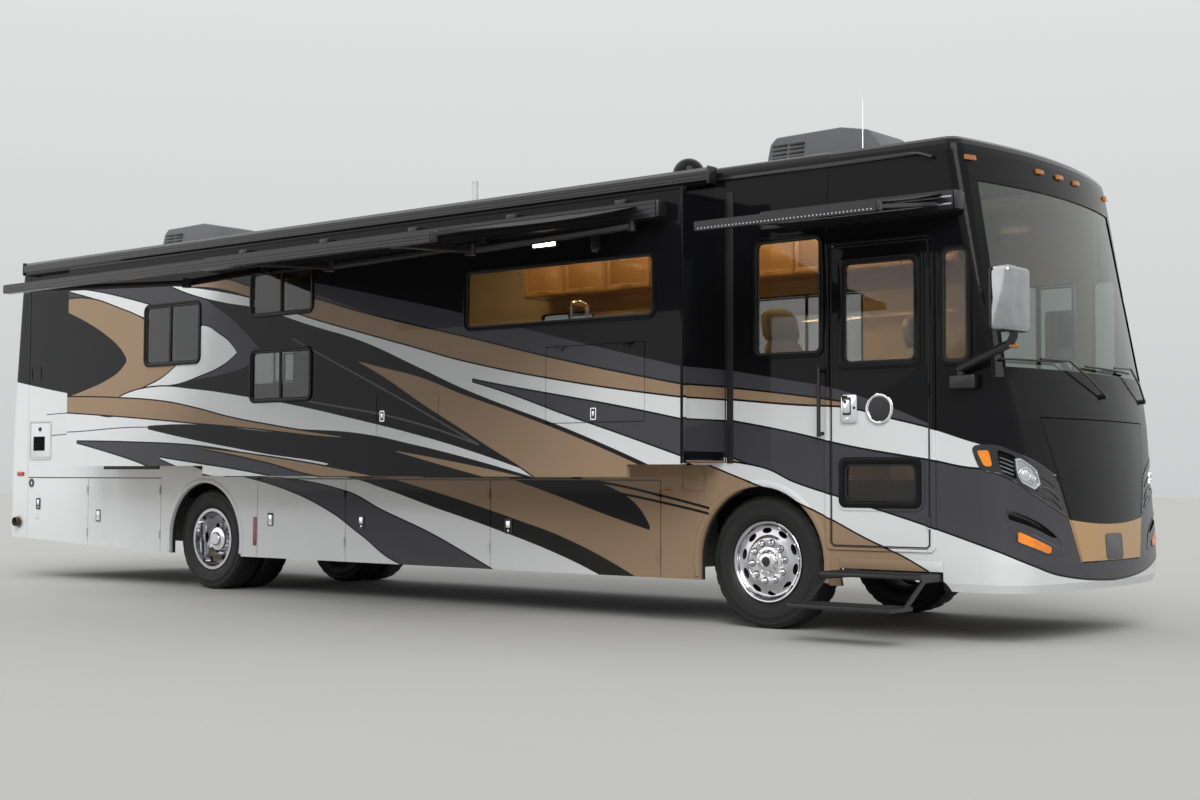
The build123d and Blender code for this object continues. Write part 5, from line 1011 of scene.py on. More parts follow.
def window_trim(name, body, window, side, face, wide, inset=0.0):
    """Bevelled outer frame and the rubber inside it; a sliding window also gets its bars and an inner sash."""
    x0, x1, z0, z1, bars = window
    u0, u1 = at(x0), at(x1)
    place = on_side(side, face)

    def outline(gap, r):
        return rounded(u0 - gap, u1 + gap, z0 - gap, z1 + gap, r, 8)

    inner = outline(0.004 - inset, WINDOW_R + 0.004)
    make(name + "_frame", "black_paint", body, "trim_black",
         (add_ring, outline(wide, WINDOW_R + wide), inner, place, 0.0005, 0.013, 0.004))
    posts = [u0 + (u1 - u0) * share for share in bars]
    make(name + "_rubber", "rubber", body, "trim_black",
         (add_ring, inner, outline(-0.012 - inset, WINDOW_R - 0.01), place, -PANE_OUT + 0.0005, 0.006, 0.002),
         *((add_box, u - 0.016, u + 0.016, side * (face - PANE_OUT + 0.0005), side * (face + 0.004), z0 + 0.01,
            z1 - 0.01, 0.003) for u in posts))
    if posts:
        u = posts[0]
        make(name + "_sash", "alu_black", body, "trim_black",
             (add_ring, rounded(u + 0.02, u1 - 0.02, z0 + 0.02, z1 - 0.02, 0.02, 4),
              rounded(u + 0.034, u1 - 0.034, z0 + 0.034, z1 - 0.034, 0.012, 4), place, -0.034, -0.016, 0.002))


# Name, body, windows, side, face, width of each frame, how far the glass reaches under the frame
WINDOW_GROUPS = (
    ("slide_window", "slide_out", SLIDE_WINDOWS, -1, -SLIDE_Y, (0.030,) * 4, 0.0),
    ("right_window", "coach", RIGHT_WINDOWS, -1, HALF_W, (0.034,) * 2, 0.0),
    ("door_window", "entry_door", DOOR_WINDOWS, -1, HALF_W, (0.008,) * 2, 0.042),
    ("left_window", "coach", LEFT_WINDOWS, 1, HALF_W, (0.034,) * 4 + (0.03,) * 2, 0.0),
)
for group, body, windows, side, face, widths, inset in WINDOW_GROUPS:
    for k, (window, wide) in enumerate(zip(windows, widths)):
        window_trim(group + "_" + str(k + 1), body, window, side, face, wide, inset)

# ---------------------------------------------------------------- entry door
wall_face = on_side(-1, HALF_W)
make("door_surround", "paint", "coach", "body_paint",
     (add_ring, rounded(at(0.566), at(1.444), 0.600, 2.792, 0.05, 6),
      rounded(at(0.604), at(1.406), 0.619, 2.751, 0.03, 6), wall_face, 0.0004, 0.012, 0.004))
make("door_seal", "rubber", "entry_door", "trim_black",
     (add_ring, rounded(at(0.6125), at(1.3975), 0.6275, 2.7425, 0.03, 6),
      rounded(at(0.622), at(1.388), 0.637, 2.733, 0.024, 6), wall_face, 0.0003, 0.0045, 0.001))

make("door_latch_plate", "chrome", "entry_door", "chrome_trim",
     (add_prism, rounded(at(0.705), at(0.838), 1.492, 1.690, 0.018, 5), wall_face, 0.0005, 0.021, 0.006))
make("door_latch_recess", "housing", "entry_door", "chrome_trim",
     (add_prism, rounded(at(0.722), at(0.790), 1.545, 1.672, 0.012, 5), wall_face, 0.0205, 0.0216),
     (add_prism, rounded(at(0.804), at(0.826), 1.585, 1.607, 0.010, 5), wall_face, 0.0205, 0.0216))
make("door_latch_paddle", "chrome", "entry_door", "chrome_trim",
     (add_prism, rounded(at(0.728), at(0.784), 1.560, 1.655, 0.012, 5), wall_face, 0.0210, 0.030, 0.004),
     (add_prism, rounded(at(0.735), at(0.777), 1.506, 1.530, 0.008, 5), wall_face, 0.0205, 0.027, 0.003))
make("door_round_ring", "chrome", "entry_door", "chrome_trim",
     (add_lathe, [(0.112, 0.0003), (0.112, 0.008), (0.108, 0.014), (0.098, 0.0175), (0.088, 0.0145), (0.085, 0.0105)],
      (at(1.01), -HALF_W, 1.586), -1, 72))
make("door_round_disc", "housing", "entry_door", "chrome_trim",
     (add_lathe, [(0.0855, 0.0102), (0.0855, 0.0112), (0.06, 0.0128), (0.0, 0.0132)], (at(1.01), -HALF_W, 1.586), -1,
      72))

# ---------------------------------------------------------------- baggage door latches
RIGHT_LATCHES = ((-9.48, 0.80), (-8.35, 0.69), (-5.55, 0.70), (-4.29, 0.70), (-2.50, 0.70))
LEFT_LATCHES = RIGHT_LATCHES[:3] + ((-3.14, 0.70),)


def around(u, v, half_u, half_v, r, steps=5):
    """Rounded rectangle given by its middle and half sizes."""
    return rounded(u - half_u, u + half_u, v - half_v, v + half_v, r, steps)


for (label, side), latches in zip(SIDES, (RIGHT_LATCHES, LEFT_LATCHES)):
    place = on_side(side, HALF_W)
    for k, (x, z) in enumerate(latches):
        u, name = at(x), label + "_bay_door_" + str(k + 1)
        make(name + "_latch", "chrome", name, "chrome_trim",
             (add_prism, rounded(u - 0.023, u + 0.023, z - 0.014, z + 0.044, 0.007, 5), place, 0.0012,
              0.0095, 0.003),
             (add_lathe, [(0.0105, 0.0012), (0.0105, 0.006), (0.007, 0.0075), (0.0, 0.0077)],
              (u, side * HALF_W, z - 0.038), side, 20))
        inner = around(u, z, 0.031, 0.053, 0.008)
        make(name + "_latch_well", "bezel", name, "chrome_trim", (add_prism, inner, place, 0.0003, 0.0012),
             (add_ring, around(u, z, 0.040, 0.062, 0.012), inner, place, 0.0003, 0.007, 0.002))

# ---------------------------------------------------------------- small fittings of the right wall and slide-out
slide_face = on_side(-1, -SLIDE_Y)
# Gap between a wall and what is put on it
LIFT = 0.0004


def small_panel(name, body, look, place, u0, u1, v0, v1, r, d1, edge=0.002, slot="body_paint"):
    """Rounded plate on a wall; u is measured from the front axle."""
    make(name, look, body, slot, (add_prism, rounded(at(u0), at(u1), v0, v1, r, 5), place, LIFT, d1, edge))


def small_ring(name, body, look, place, u0, u1, v0, v1, r, wide, d1, slot="body_paint"):
    """Rounded frame of the given width on a wall."""
    outer = rounded(at(u0), at(u1), v0, v1, r, 5)
    inner = rounded(at(u0) + wide, at(u1) - wide, v0 + wide, v1 - wide, max(r - wide, 0.002), 5)
    make(name, look, body, slot, (add_ring, outer, inner, place, LIFT, d1))


small_panel("porch_light_base", "slide_out", "alu_black", slide_face, -1.74, -1.47, 2.868, 2.918, 0.010, 0.022,
            0.005, "trim_black")
small_panel("porch_light_lens", "slide_out", "lamp_white", slide_face, -1.72, -1.49, 2.878, 2.908, 0.010, 0.028,
            0.004, "lamp_clear")
small_panel("speaker_body", "slide_out", "housing", slide_face, -1.13, -1.05, 2.79, 2.955, 0.035, 0.030, 0.010,
            "trim_black")
bm = bmesh.new()
for k in range(9):
    z = 2.815 + 0.0145 * k
    add_prism(bm, rounded(at(-1.115), at(-1.065), z, z + 0.006, 0.003, 3), slide_face, 0.0300, 0.0325)
piece("speaker_grille", bm, "trim", "slide_out")
for name, body, x, z in (("slide_hatch_latch", "slide_hatch", -1.12, 1.58),
                         ("service_latch", "slide_out", -3.43, 1.61)):
    small_ring(name, body, "chrome", slide_face, x - 0.028, x + 0.028, z - 0.045, z + 0.045, 0.010, 0.007, 0.006,
               "chrome_trim")
    small_panel(name + "_key", body, "chrome", slide_face, x - 0.011, x + 0.011, z - 0.020, z + 0.025, 0.010, 0.009,
                0.003, "chrome_trim")
    small_panel(name + "_well", body, "housing", slide_face, x - 0.021, x + 0.021, z - 0.038, z + 0.038, 0.004,
                0.0012, 0.0, "chrome_trim")
bm = bmesh.new()
add_box(bm, at(-0.302), at(-0.28), SLIDE_Y - 0.006, SLIDE_Y - 0.0004, 1.205, 3.208, 0.002)
add_box(bm, at(-8.08), at(-0.30), SLIDE_Y - 0.005, SLIDE_Y - 0.0004, 3.19, 3.208, 0.002)
for z0, z1 in ((1.206, 1.296), (3.150, 3.206)):
    add_box(bm, at(-0.28) + 0.0003, at(-0.28) + 0.0022, SLIDE_Y + 0.001, SLIDE_Y + 0.039, z0, z1, 0.0005)
    add_box(bm, at(-0.31) + 0.0003, at(-0.31) + 0.0015, SLIDE_Y + 0.041, -1.235, max(z0, 1.228), min(z1, 3.178), 0.0005)
piece("slide_face_edging", bm, "black_paint", "slide_out")
# Black rubber strip under part of the slide-out: painted shade for the dark gap below it.
make("slide_gap_shade_strip", "rubber", "slide_out", "trim_black",
     (add_box, at(-7.450), at(-6.560), SLIDE_Y + 0.004, SLIDE_Y + 0.030, 1.168, 1.1997, 0.003))

small_ring("fuel_door_edge", "coach", "paint", wall_face, -0.71, -0.49, 0.995, 1.195, 0.030, 0.008, 0.005)
small_panel("fuel_door_leaf", "coach", "paint", wall_face, -0.695, -0.505, 1.010, 1.180, 0.022, 0.004, 0.001)
small_ring("rear_service_edge", "coach", "white_plastic", wall_face, -9.67, -9.25, 1.28, 1.70, 0.030, 0.018, 0.010)
small_panel("rear_service_leaf", "coach", "white_paint", wall_face, -9.645, -9.275, 1.305, 1.675, 0.020, 0.006,
            0.002)
# Backing plate and slats of the vent in the painted-shade black, standing in for the shade behind its grille.
bm = bmesh.new()
add_prism(bm, rounded(at(-9.590), at(-9.370), 1.375, 1.530, 0.008, 4), wall_face, 0.0059, 0.0075, 0.0005)
for k in range(11):
    z = 1.380 + 0.0135 * k
    add_prism(bm, rounded(at(-9.586), at(-9.374), z, z + 0.0055, 0.002, 3), wall_face, 0.0070, 0.0105)
piece("rear_service_vent", bm, "painted_shade", "coach")
make("rear_service_knob", "trim", "coach", "trim_black",
     (add_lathe, [(0.024, 0.006), (0.024, 0.010), (0.018, 0.013), (0.016, 0.022), (0.012, 0.025), (0.0, 0.0255)],
      (at(-9.46), -HALF_W, 1.61), -1, 32))
small_ring("rear_upper_hatch", "coach", "black_paint", wall_face, -9.65, -9.47, 2.15, 2.29, 0.015, 0.007, 0.005)
for label, side in SIDES:
    place = on_side(side, HALF_W)
    small_panel(label + "_rear_marker", "coach", "red", place, -9.90, -9.77, 1.105, 1.145, 0.010, 0.014, 0.004,
                "lamp_clear")
    small_panel(label + "_middle_marker", "coach", "lens", place, -0.88, -0.82, 0.99, 1.012, 0.008, 0.012, 0.003,
                "lamp_clear")
    small_panel(label + "_side_reflector", "coach", "lens", place, -5.80, -5.755, 0.45, 0.72, 0.010, 0.008,
                0.002, "lamp_clear")
small_ring("coach_plug_ring", "coach", "trim", wall_face, -9.665, -9.575, 0.980, 1.070, 0.044, 0.022, 0.009,
           "chrome_trim")

# Panel seams: thin raised covers on the walls, and the rubber round the slide-out's opening
bm = bmesh.new()
for side in (-1, 1):
    for x, z0, z1 in ((0.583, 2.86, 3.335), (-9.704, 1.10, 3.30)):
        add_box(bm, at(x) - 0.007, at(x) + 0.007, side * (HALF_W + 0.0002), side * (HALF_W + 0.0035), z0, z1, 0.0015)
piece("wall_seam_covers", bm, "paint", "coach")
make("slide_opening_rubber", "rubber", "coach", "trim_black",
     (add_box, at(-0.290), at(-0.232), -HALF_W - 0.0075, -HALF_W - 0.0003, 1.21, 3.235, 0.003),
     (add_box, at(-8.130), at(-8.085), -HALF_W - 0.0040, -HALF_W - 0.0003, 1.21, 3.235, 0.001),
     *((add_box, at(u0), at(u1), -HALF_W - 0.0075, -1.130, z0, z1, 0.001) for u0, u1, z0, z1 in (
         (-8.0795, -0.3005, 3.1855, 3.1895), (-8.0795, -8.0755, 1.2155, 3.1855), (-0.3045, -0.3005, 1.2155, 3.1855))))

# Exhaust tip through the right rear corner
make("exhaust_flange", "steel", "coach", "chrome_trim",
     (add_lathe, [(0.070, 0.0003), (0.070, 0.004), (0.062, 0.012), (0.050, 0.014), (0.050, 0.012)],
      (at(-9.855), -HALF_W, 0.600), -1, 40))
make("exhaust_tip", "iron", "coach", "chrome_trim",
     (add_lathe, [(0.049, 0.0003), (0.049, 0.060), (0.047, 0.063), (0.043, 0.060), (0.042, 0.004), (0.0, 0.003)],
      (at(-9.855), -HALF_W, 0.600), -1, 40))

# Rear end: lamps, louvres, blank plate, camera
REAR_ROWS = ((0.430, 0.0), (1.090, 0.0), (1.700, 0.018), (3.050, 0.140), (3.340, 0.178))


def rear_skin(y, z, out):
    """Point of the rear cap at y and z, pushed out from the skin."""
    for (z0, back0), (z1, back1) in zip(REAR_ROWS, REAR_ROWS[1:]):
        if z <= z1:
            break
    return Vector((at(-10.08) + back0 + (back1 - back0) * (z - z0) / (z1 - z0) - out, y, z))


for label, side in SIDES:
    bm = bmesh.new()
    lens = bmesh.new()
    for z0, z1, rings in ((1.180, 1.560, 3), (0.700, 0.860, 1)):
        a, b = sorted((side * 0.905, side * 1.060))
        add_ring(bm, rounded(a - 0.010, b + 0.010, z0 - 0.010, z1 + 0.010, 0.020, 5),
                 rounded(a + 0.004, b - 0.004, z0 + 0.004, z1 - 0.004, 0.012, 5), rear_skin, 0.0003, 0.022,
                 0.003)
        for k in range(rings):
            u, v = (a + b) / 2, z0 + (z1 - z0) * (k + 0.5) / rings
            for r in (0.060, 0.042, 0.024):
                add_ring(lens, circle(u, v, r, 32), circle(u, v, r - 0.008, 32), rear_skin, 0.0136, 0.0175, 0.001)
    piece(label + "_tail_lamp_bezels", bm, "trim", "coach")
    piece(label + "_tail_lamp_rings", lens, "red", "coach")
bm = bmesh.new()
for y in (-0.395, 0.395):
    add_ring(bm, rounded(y - 0.300, y + 0.300, 1.080, 1.500, 0.025, 5),
             rounded(y - 0.280, y + 0.280, 1.100, 1.480, 0.015, 5), rear_skin, 0.0003, 0.010, 0.003)
    for k in range(13):
        v = 1.112 + 0.028 * k
        add_prism(bm, rounded(y - 0.278, y + 0.278, v, v + 0.015, 0.005, 3), rear_skin, 0.0003, 0.0105, 0.003)
piece("engine_hatch_louvres", bm, "trim", "engine_hatch")
make("plate_frame", "chrome", "engine_hatch", "chrome_trim",
     (add_ring, rounded(-0.165, 0.165, 0.820, 0.990, 0.012, 4),
      rounded(-0.150, 0.150, 0.835, 0.975, 0.008, 4), rear_skin, 0.0003, 0.009, 0.002))
make("blank_plate", "white_plastic", "engine_hatch", "body_paint",
     (add_prism, rounded(-0.152, 0.152, 0.833, 0.977, 0.008, 4), rear_skin, 0.0003, 0.004, 0.001))
make("engine_hatch_latches", "chrome", "engine_hatch", "chrome_trim",
     *((add_prism, rounded(y - 0.035, y + 0.035, 0.670, 0.740, 0.012, 4), rear_skin, 0.0003, 0.012, 0.003)
       for y in (-0.45, 0.45)))
make("rear_high_lamps", "red", "coach", "lamp_clear",
     *((add_prism, rounded(y - 0.045, y + 0.045, 3.262, 3.292, 0.012, 4), rear_skin, 0.0003, 0.016, 0.005)
       for y in (-1.04, -0.20, 0.0, 0.20, 1.04)),
     (add_prism, rounded(-0.230, 0.230, 3.190, 3.216, 0.010, 4), rear_skin, 0.0003, 0.014, 0.004))
make("rear_camera", "black_paint", "coach", "trim_black",
     (add_prism, rounded(-0.060, 0.060, 3.060, 3.140, 0.018, 5), rear_skin, 0.0003, 0.055, 0.012))
make("rear_camera_lens", "mirror", "coach", "lamp_clear",
     (add_prism, circle(0, 3.100, 0.024, 24), rear_skin, 0.050, 0.061, 0.004))

# Stop and seal inside the top of the entry door's opening
make("door_stop_seal", "rubber", "coach", "trim_black",
     (add_box, at(0.600), at(1.410), -1.1697, -1.160, 2.735, 2.800, 0.002))

# Skirt between the entry door and the steps
make("step_valance", "paint", "coach", "body_paint",
     (add_box, at(0.680), at(1.490), -HALF_W, -HALF_W + 0.014, 0.472, 0.5475, 0.002))

# Gutter along both roof edges, turned down at its front end
for (label, side), back in zip(SIDES, (-0.37, -9.6)):
    make(label + "_gutter", "alu_black", "coach", "alu_dark",
         (add_box, at(back), at(1.30), side * (HALF_W - 0.004), side * (HALF_W + 0.016), 3.322, 3.332, 0.002),
         (add_box, at(back), at(1.30), side * (HALF_W + 0.011), side * (HALF_W + 0.016), 3.322, 3.350, 0.002),
         (add_tube, [(at(x), side * (HALF_W + out), z) for x, out, z in (
             (1.27, 0.008, 3.333), (1.33, 0.012, 3.331), (1.385, 0.018, 3.312), (1.44, 0.022, 3.292))], 0.013, 12),
         *((add_lathe, [(0.005, 0.003), (0.005, 0.0046), (0.0025, 0.006), (0.0, 0.0062)],
            (at(back) + 0.1 + 0.28 * k, side * (HALF_W + 0.012), 3.341), side, 8)
           for k in range(int((1.2 - back) / 0.28))))


# ---------------------------------------------------------------- arch lips
def arch_lip(name, x, side, radius, z):
    """Moulded lip round the wheel arch, standing off the skirt."""
    bm = bmesh.new()
    rows = []
    for k in range(49):
        a = radians(-12 + 204 * k / 48)
        rows.append([bm.verts.new((x + r * cos(a), side * (HALF_W + y), max(z + r * sin(a), 0.345))) for r, y in (
            (radius - 0.004, -0.028), (radius - 0.004, 0.006), (radius + 0.004, 0.011), (radius + 0.030, 0.009),
            (radius + 0.044, 0.0004))])
    join_rings(bm, rows, around=False)
    piece(name, bm, "paint", "coach")


for label, side in SIDES:
    arch_lip("front_" + label + "_arch_lip", FRONT_AXLE_X, side, 0.560, 0.485)
    arch_lip("rear_" + label + "_arch_lip", REAR_AXLE_X, side, 0.560, 0.485)

# ---------------------------------------------------------------- front lamps and nose
def corner_skin(s, z, out, side):
    """Point of the cap's skin by the distance along the corner plane, 50 degrees from the nose, and height."""
    corner_x, half = cap_plan(z)[1], cap_plan(z)[4]
    a = radians(50)
    x = FRONT_AXLE_X + (s + half * cos(a)) / sin(a)
    if x <= corner_x:
        return Vector((x, side * (half + out), z))
    low, high = 0.0, half
    for _ in range(22):
        middle = (low + high) / 2
        reach = (cap_by_y(middle, z).x - FRONT_AXLE_X) * sin(a) - middle * cos(a)
        low, high = (middle, high) if reach > s else (low, middle)
    return cap_by_y(side * (low + high) / 2, z, out)


def soft_loop(points, count=5):
    """Closed smooth line through points."""
    line = []
    n = len(points)
    for k in range(n):
        a, b, c, d = (Vector(points[(k + j) % n]) for j in (-1, 0, 1, 2))
        for m in range(count):
            t = m / count
            line.append(b + (c - a) * 0.35 * (t - 2 * t * t + t ** 3) + (c - b) * (3 * t * t - 2 * t ** 3)
                        + (d - b) * 0.35 * (t ** 3 - t * t))
    return [(p.x, p.y) for p in line]


def shrunk(loop, share):
    """Loop scaled about the mean of its points."""
    cx = sum(p[0] for p in loop) / len(loop)
    cz = sum(p[1] for p in loop) / len(loop)
    return [(cx + (u - cx) * share, cz + (v - cz) * share) for u, v in loop]


def in_loop(u, v, loop):
    inside = False
    for (au, av), (bu, bv) in zip(loop, loop[1:] + loop[:1]):
        if (av > v) != (bv > v) and u < au + (bu - au) * (v - av) / (bv - av):
            inside = not inside
    return inside


def add_patch(bm, outline, holes, place, d0, d1, step=0.022):
    """Thin plate with holes that follows a curved skin."""
    loops = []
    for loop in [outline] + list(holes):
        line = []
        for (au, av), (bu, bv) in zip(loop, loop[1:] + loop[:1]):
            n = max(1, int(sqrt((bu - au) ** 2 + (bv - av) ** 2) / step))
            line += [(au + (bu - au) * j / n, av + (bv - av) * j / n) for j in range(n)]
        loops.append(line)
    points = [Vector(p) for line in loops for p in line]
    edges, first = [], 0
    for line in loops:
        edges += [(first + k, first + (k + 1) % len(line)) for k in range(len(line))]
        first += len(line)

    def covered(u, v):
        return in_loop(u, v, loops[0]) and not any(in_loop(u, v, hole) for hole in loops[1:])

    border = list(points)
    u = min(p.x for p in border) + step / 2
    while u < max(p.x for p in border):
        v = min(p.y for p in border) + step / 2
        while v < max(p.y for p in border):
            spot = Vector((u, v))
            if covered(u, v) and min((spot - p).length for p in border) > step * 0.6:
                points.append(spot)
            v += step
        u += step
    flat, _, faces = delaunay_2d_cdt(points, edges, [], 0, 1e-6)[:3]
    top = [bm.verts.new(place(p.x, p.y, d1)) for p in flat]
    for face in faces:
        centre = sum((flat[k] for k in face), Vector((0.0, 0.0))) / len(face)
        if covered(centre.x, centre.y):
            bm.faces.new([top[k] for k in face])
    for line in loops:
        join_rings(bm, [[bm.verts.new(place(u, v, d)) for u, v in line] for d in (d1, d0)])
    bmesh.ops.remove_doubles(bm, verts=bm.verts, dist=1e-5)
    bmesh.ops.recalc_face_normals(bm, faces=bm.faces)


# Outlines on the corner plane: distance along it, height
BEZEL = soft_loop((
    (0.530, 1.300), (0.546, 1.324), (0.600, 1.331), (0.690, 1.321), (0.793, 1.281), (0.948, 1.221), (1.050, 1.166),
    (1.102, 1.132), (1.143, 1.045), (1.178, 0.960), (1.216, 0.852), (1.160, 0.868), (1.091, 0.908), (1.000, 0.955),
    (0.911, 1.003), (0.790, 1.080), (0.681, 1.137), (0.601, 1.150), (0.563, 1.190), (0.540, 1.255),
))
AMBER_LENS = soft_loop(((0.560, 1.284), (0.590, 1.290), (0.622, 1.285), (0.641, 1.200), (0.630, 1.185),
                        (0.594, 1.195)), 4)
RECESS = soft_loop(((0.676, 1.285), (0.700, 1.287), (0.790, 1.250), (0.783, 1.190), (0.800, 1.118), (0.790, 1.104),
                    (0.712, 1.143), (0.684, 1.215)), 4)
HEAD_LAMP = soft_loop(((0.792, 1.222), (0.800, 1.236), (0.826, 1.238), (0.890, 1.202), (0.946, 1.164), (0.956, 1.148),
                       (0.980, 1.074), (0.974, 1.060), (0.936, 1.034), (0.920, 1.036), (0.842, 1.074), (0.832, 1.084),
                       (0.806, 1.130)), 3)
VENT_FACE = soft_loop((
    (0.726, 0.842), (0.742, 0.836), (0.916, 0.778), (1.060, 0.716), (1.110, 0.706), (1.150, 0.660), (1.180, 0.592),
    (1.120, 0.590), (1.050, 0.592), (0.900, 0.640), (0.785, 0.690), (0.765, 0.745),
))
LAMP_RIBS = (
    ((0.950, 1.024), (0.975, 1.040), (1.010, 1.044), (1.055, 1.028), (1.095, 1.003), (1.140, 0.960)),
    ((1.010, 0.972), (1.040, 0.980), (1.080, 0.966), (1.125, 0.936), (1.165, 0.898)),
    ((0.975, 1.120), (1.010, 1.108), (1.060, 1.082), (1.105, 1.050)),
)
LAMP_BRIGHT_EDGES = (
    ((0.850, 1.258), (0.948, 1.218), (1.020, 1.180), (1.094, 1.134)),
    ((0.605, 1.155), (0.681, 1.141), (0.790, 1.084), (0.911, 1.007), (1.000, 0.959), (1.091, 0.912), (1.160, 0.873),
     (1.205, 0.856)),
    ((0.955, 1.032), (0.978, 1.047), (1.012, 1.051), (1.060, 1.034), (1.100, 1.009)),
)
AMBER_BAR = [(0.797, 0.752), (0.812, 0.754), (1.058, 0.650), (1.066, 0.640), (1.062, 0.608), (1.036, 0.604),
             (0.806, 0.686), (0.797, 0.694)]

for label, side in SIDES:
    skin = lambda u, v, d, side=side: corner_skin(u, v, d, side)
    make(label + "_lamp_bezel", "bezel", "coach", "lamp_black",
         (add_patch, BEZEL, [AMBER_LENS, RECESS, HEAD_LAMP], skin, 0.0003, 0.0035))
    make(label + "_corner_lens", "amber", "coach", "lamp_clear",
         (add_patch, AMBER_LENS, [], skin, -0.0027, 0.0055, 0.012))
    make(label + "_headlamp_frame", "reflector", "coach", "lamp_clear",
         (add_ring, HEAD_LAMP, shrunk(HEAD_LAMP, 0.88), skin, -0.0027, 0.0075, 0.002),
         *((add_ring, circle(u, v, r, 32), circle(u, v, r_in, 32), skin, -0.0012, 0.006, 0.0015)
           for u, v, r, r_in in ((0.868, 1.134, 0.046, 0.034), (0.925, 1.112, 0.024, 0.018))))
    make(label + "_headlamp_bowl", "bowl", "coach", "lamp_clear",
         (add_patch, shrunk(HEAD_LAMP, 0.90), [], skin, -0.0027, -0.0012))
    bm = bmesh.new()
    for u, v, r in ((0.868, 1.134, 0.033), (0.925, 1.112, 0.0175)):
        rows = []
        for j in range(7):
            a = radians(14 * j)
            rows.append([bm.verts.new(skin(p, q, -0.001 + 0.40 * r * sin(a))) for p, q in circle(u, v, r * cos(a), 28)])
        join_rings(bm, rows)
        bm.faces.new(rows[-1])
    piece(label + "_headlamp_domes", bm, "mirror", "coach")
    # Near-black linings in the lamp recess and the slot above the lower vent: painted shade in these hollows.
    make(label + "_painted_shade_lining", "painted_shade", "coach", "lamp_black",
         (add_patch, shrunk(RECESS, 1.02), [], skin, -0.0136, -0.0130),
         (add_patch, [(0.735, 0.860), (0.760, 0.868), (0.900, 0.822), (1.020, 0.766), (1.105, 0.706), (1.092, 0.690),
                      (0.900, 0.780), (0.750, 0.828)], [], skin, -0.0136, -0.0130))
    # Louvres in the recess, and the ribs that run on beside the hood
    make(label + "_recess_louvres", "satin", "coach", "lamp_black",
         *((add_strip, [(0.690, v), (0.735, v - 0.016), (0.785, v - 0.036)], 0.008, skin, -0.0135, -0.006)
           for v in (1.245, 1.218, 1.191, 1.164)))
    make(label + "_lamp_ribs", "bezel", "coach", "lamp_black",
         *((add_strip, line, 0.010, skin, 0.0034, 0.0085) for line in LAMP_RIBS))
    make(label + "_lamp_bright_edges", "satin", "coach", "lamp_black",
         *((add_strip, line, 0.0045, skin, 0.0034, 0.0060) for line in LAMP_BRIGHT_EDGES),
         (add_strip, ((0.742, 0.806), (0.915, 0.734), (1.030, 0.682), (1.120, 0.638)), 0.005, skin, 0.0028, 0.0055))
    # Lower vent: a dark slot over a sloping face that carries the amber bar
    make(label + "_vent_face", "charcoal_paint", "coach", "body_paint",
         (add_patch, VENT_FACE, [AMBER_BAR], skin, 0.0003, 0.0030))
    make(label + "_vent_rim", "trim", "coach", "lamp_black",
         (add_ring, shrunk(AMBER_BAR, 1.045), shrunk(AMBER_BAR, 0.965), skin, 0.0028, 0.0075, 0.002),
         (add_strip, ((0.724, 0.868), (0.738, 0.886), (0.790, 0.884), (0.880, 0.850), (0.972, 0.811), (1.060, 0.758),
                      (1.115, 0.712), (1.150, 0.660)), 0.009, skin, 0.0003, 0.0040))
    bm = bmesh.new()
    add_patch(bm, shrunk(AMBER_BAR, 0.97), [], skin, -0.0027, 0.0035, 0.03)
    for k in range(4):
        v = 0.0125 * k
        add_strip(bm, ((0.806, 0.742 - v), (0.930, 0.692 - v), (1.054, 0.646 - v * 0.75)), 0.006, skin, 0.0033, 0.0075)
    piece(label + "_amber_bar", bm, "amber", "coach")

# Blank patch on the hood
make("hood_blank_patch", "grey_plastic", "hood", "trim_black",
     (add_prism, rounded(-0.140, 0.140, 0.545, 0.725, 0.03, 6), cap_by_y, 0.0006, 0.006, 0.002))


# Dark border printed round the windshield
def along(points, steps=32):
    """Straight runs between four corners, cut into steps."""
    line = []
    for a, b in zip(points, points[1:] + points[:1]):
        line += [(a[0] + (b[0] - a[0]) * j / steps, a[1] + (b[1] - a[1]) * j / steps) for j in range(steps)]
    return line


make("windshield_border", "black_paint", "coach", "trim_black",
     (add_ring, along(((-1.2035, 1.774), (1.2035, 1.774), (1.143, 3.256), (-1.143, 3.256))),
      along(((-1.120, 1.850), (1.120, 1.850), (1.066, 3.130), (-1.066, 3.130))), cap_by_y, 0.0006, 0.0016))


# ---------------------------------------------------------------- mirrors
def mirror_head(name, x, y, half_x, half_y, z0, z1, back):
    """Chrome shell with a dark rim and two glasses; back is the direction that the glass faces."""
    make(name + "_shell", "mirror_chrome", "coach", "chrome_trim",
         (add_box, x - half_x, x + half_x, y - half_y, y + half_y, z0, z1, 0.038, 5))
    thin = half_x < half_y
    deep, wide = sorted((half_x, half_y))

    def place(u, v, d):
        return Vector((x + back * (deep + d), y + u, v)) if thin else Vector((x + u, y + back * (deep + d), v))

    def outline(inset, low, high, r):
        return rounded(-wide + inset, wide - inset, low, high, r, 5)

    a, b = place(0.01 - wide, z0 + 0.125, 0.0), place(wide - 0.01, z0 + 0.140, 0.002)
    make(name + "_rim", "trim", "coach", "trim_black",
         (add_ring, outline(0.012, z0 + 0.012, z1 - 0.012, 0.03), outline(0.026, z0 + 0.026, z1 - 0.026, 0.02), place,
          -0.010, 0.003, 0.001),
         (add_box, a.x, b.x, a.y, b.y, a.z, b.z, 0.001))
    make(name + "_glass", "mirror", "coach", "chrome_trim",
         (add_prism, outline(0.024, z0 + 0.138, z1 - 0.024, 0.02), place, -0.006, 0.001),
         (add_prism, outline(0.024, z0 + 0.024, z0 + 0.126, 0.02), place, -0.006, 0.001))


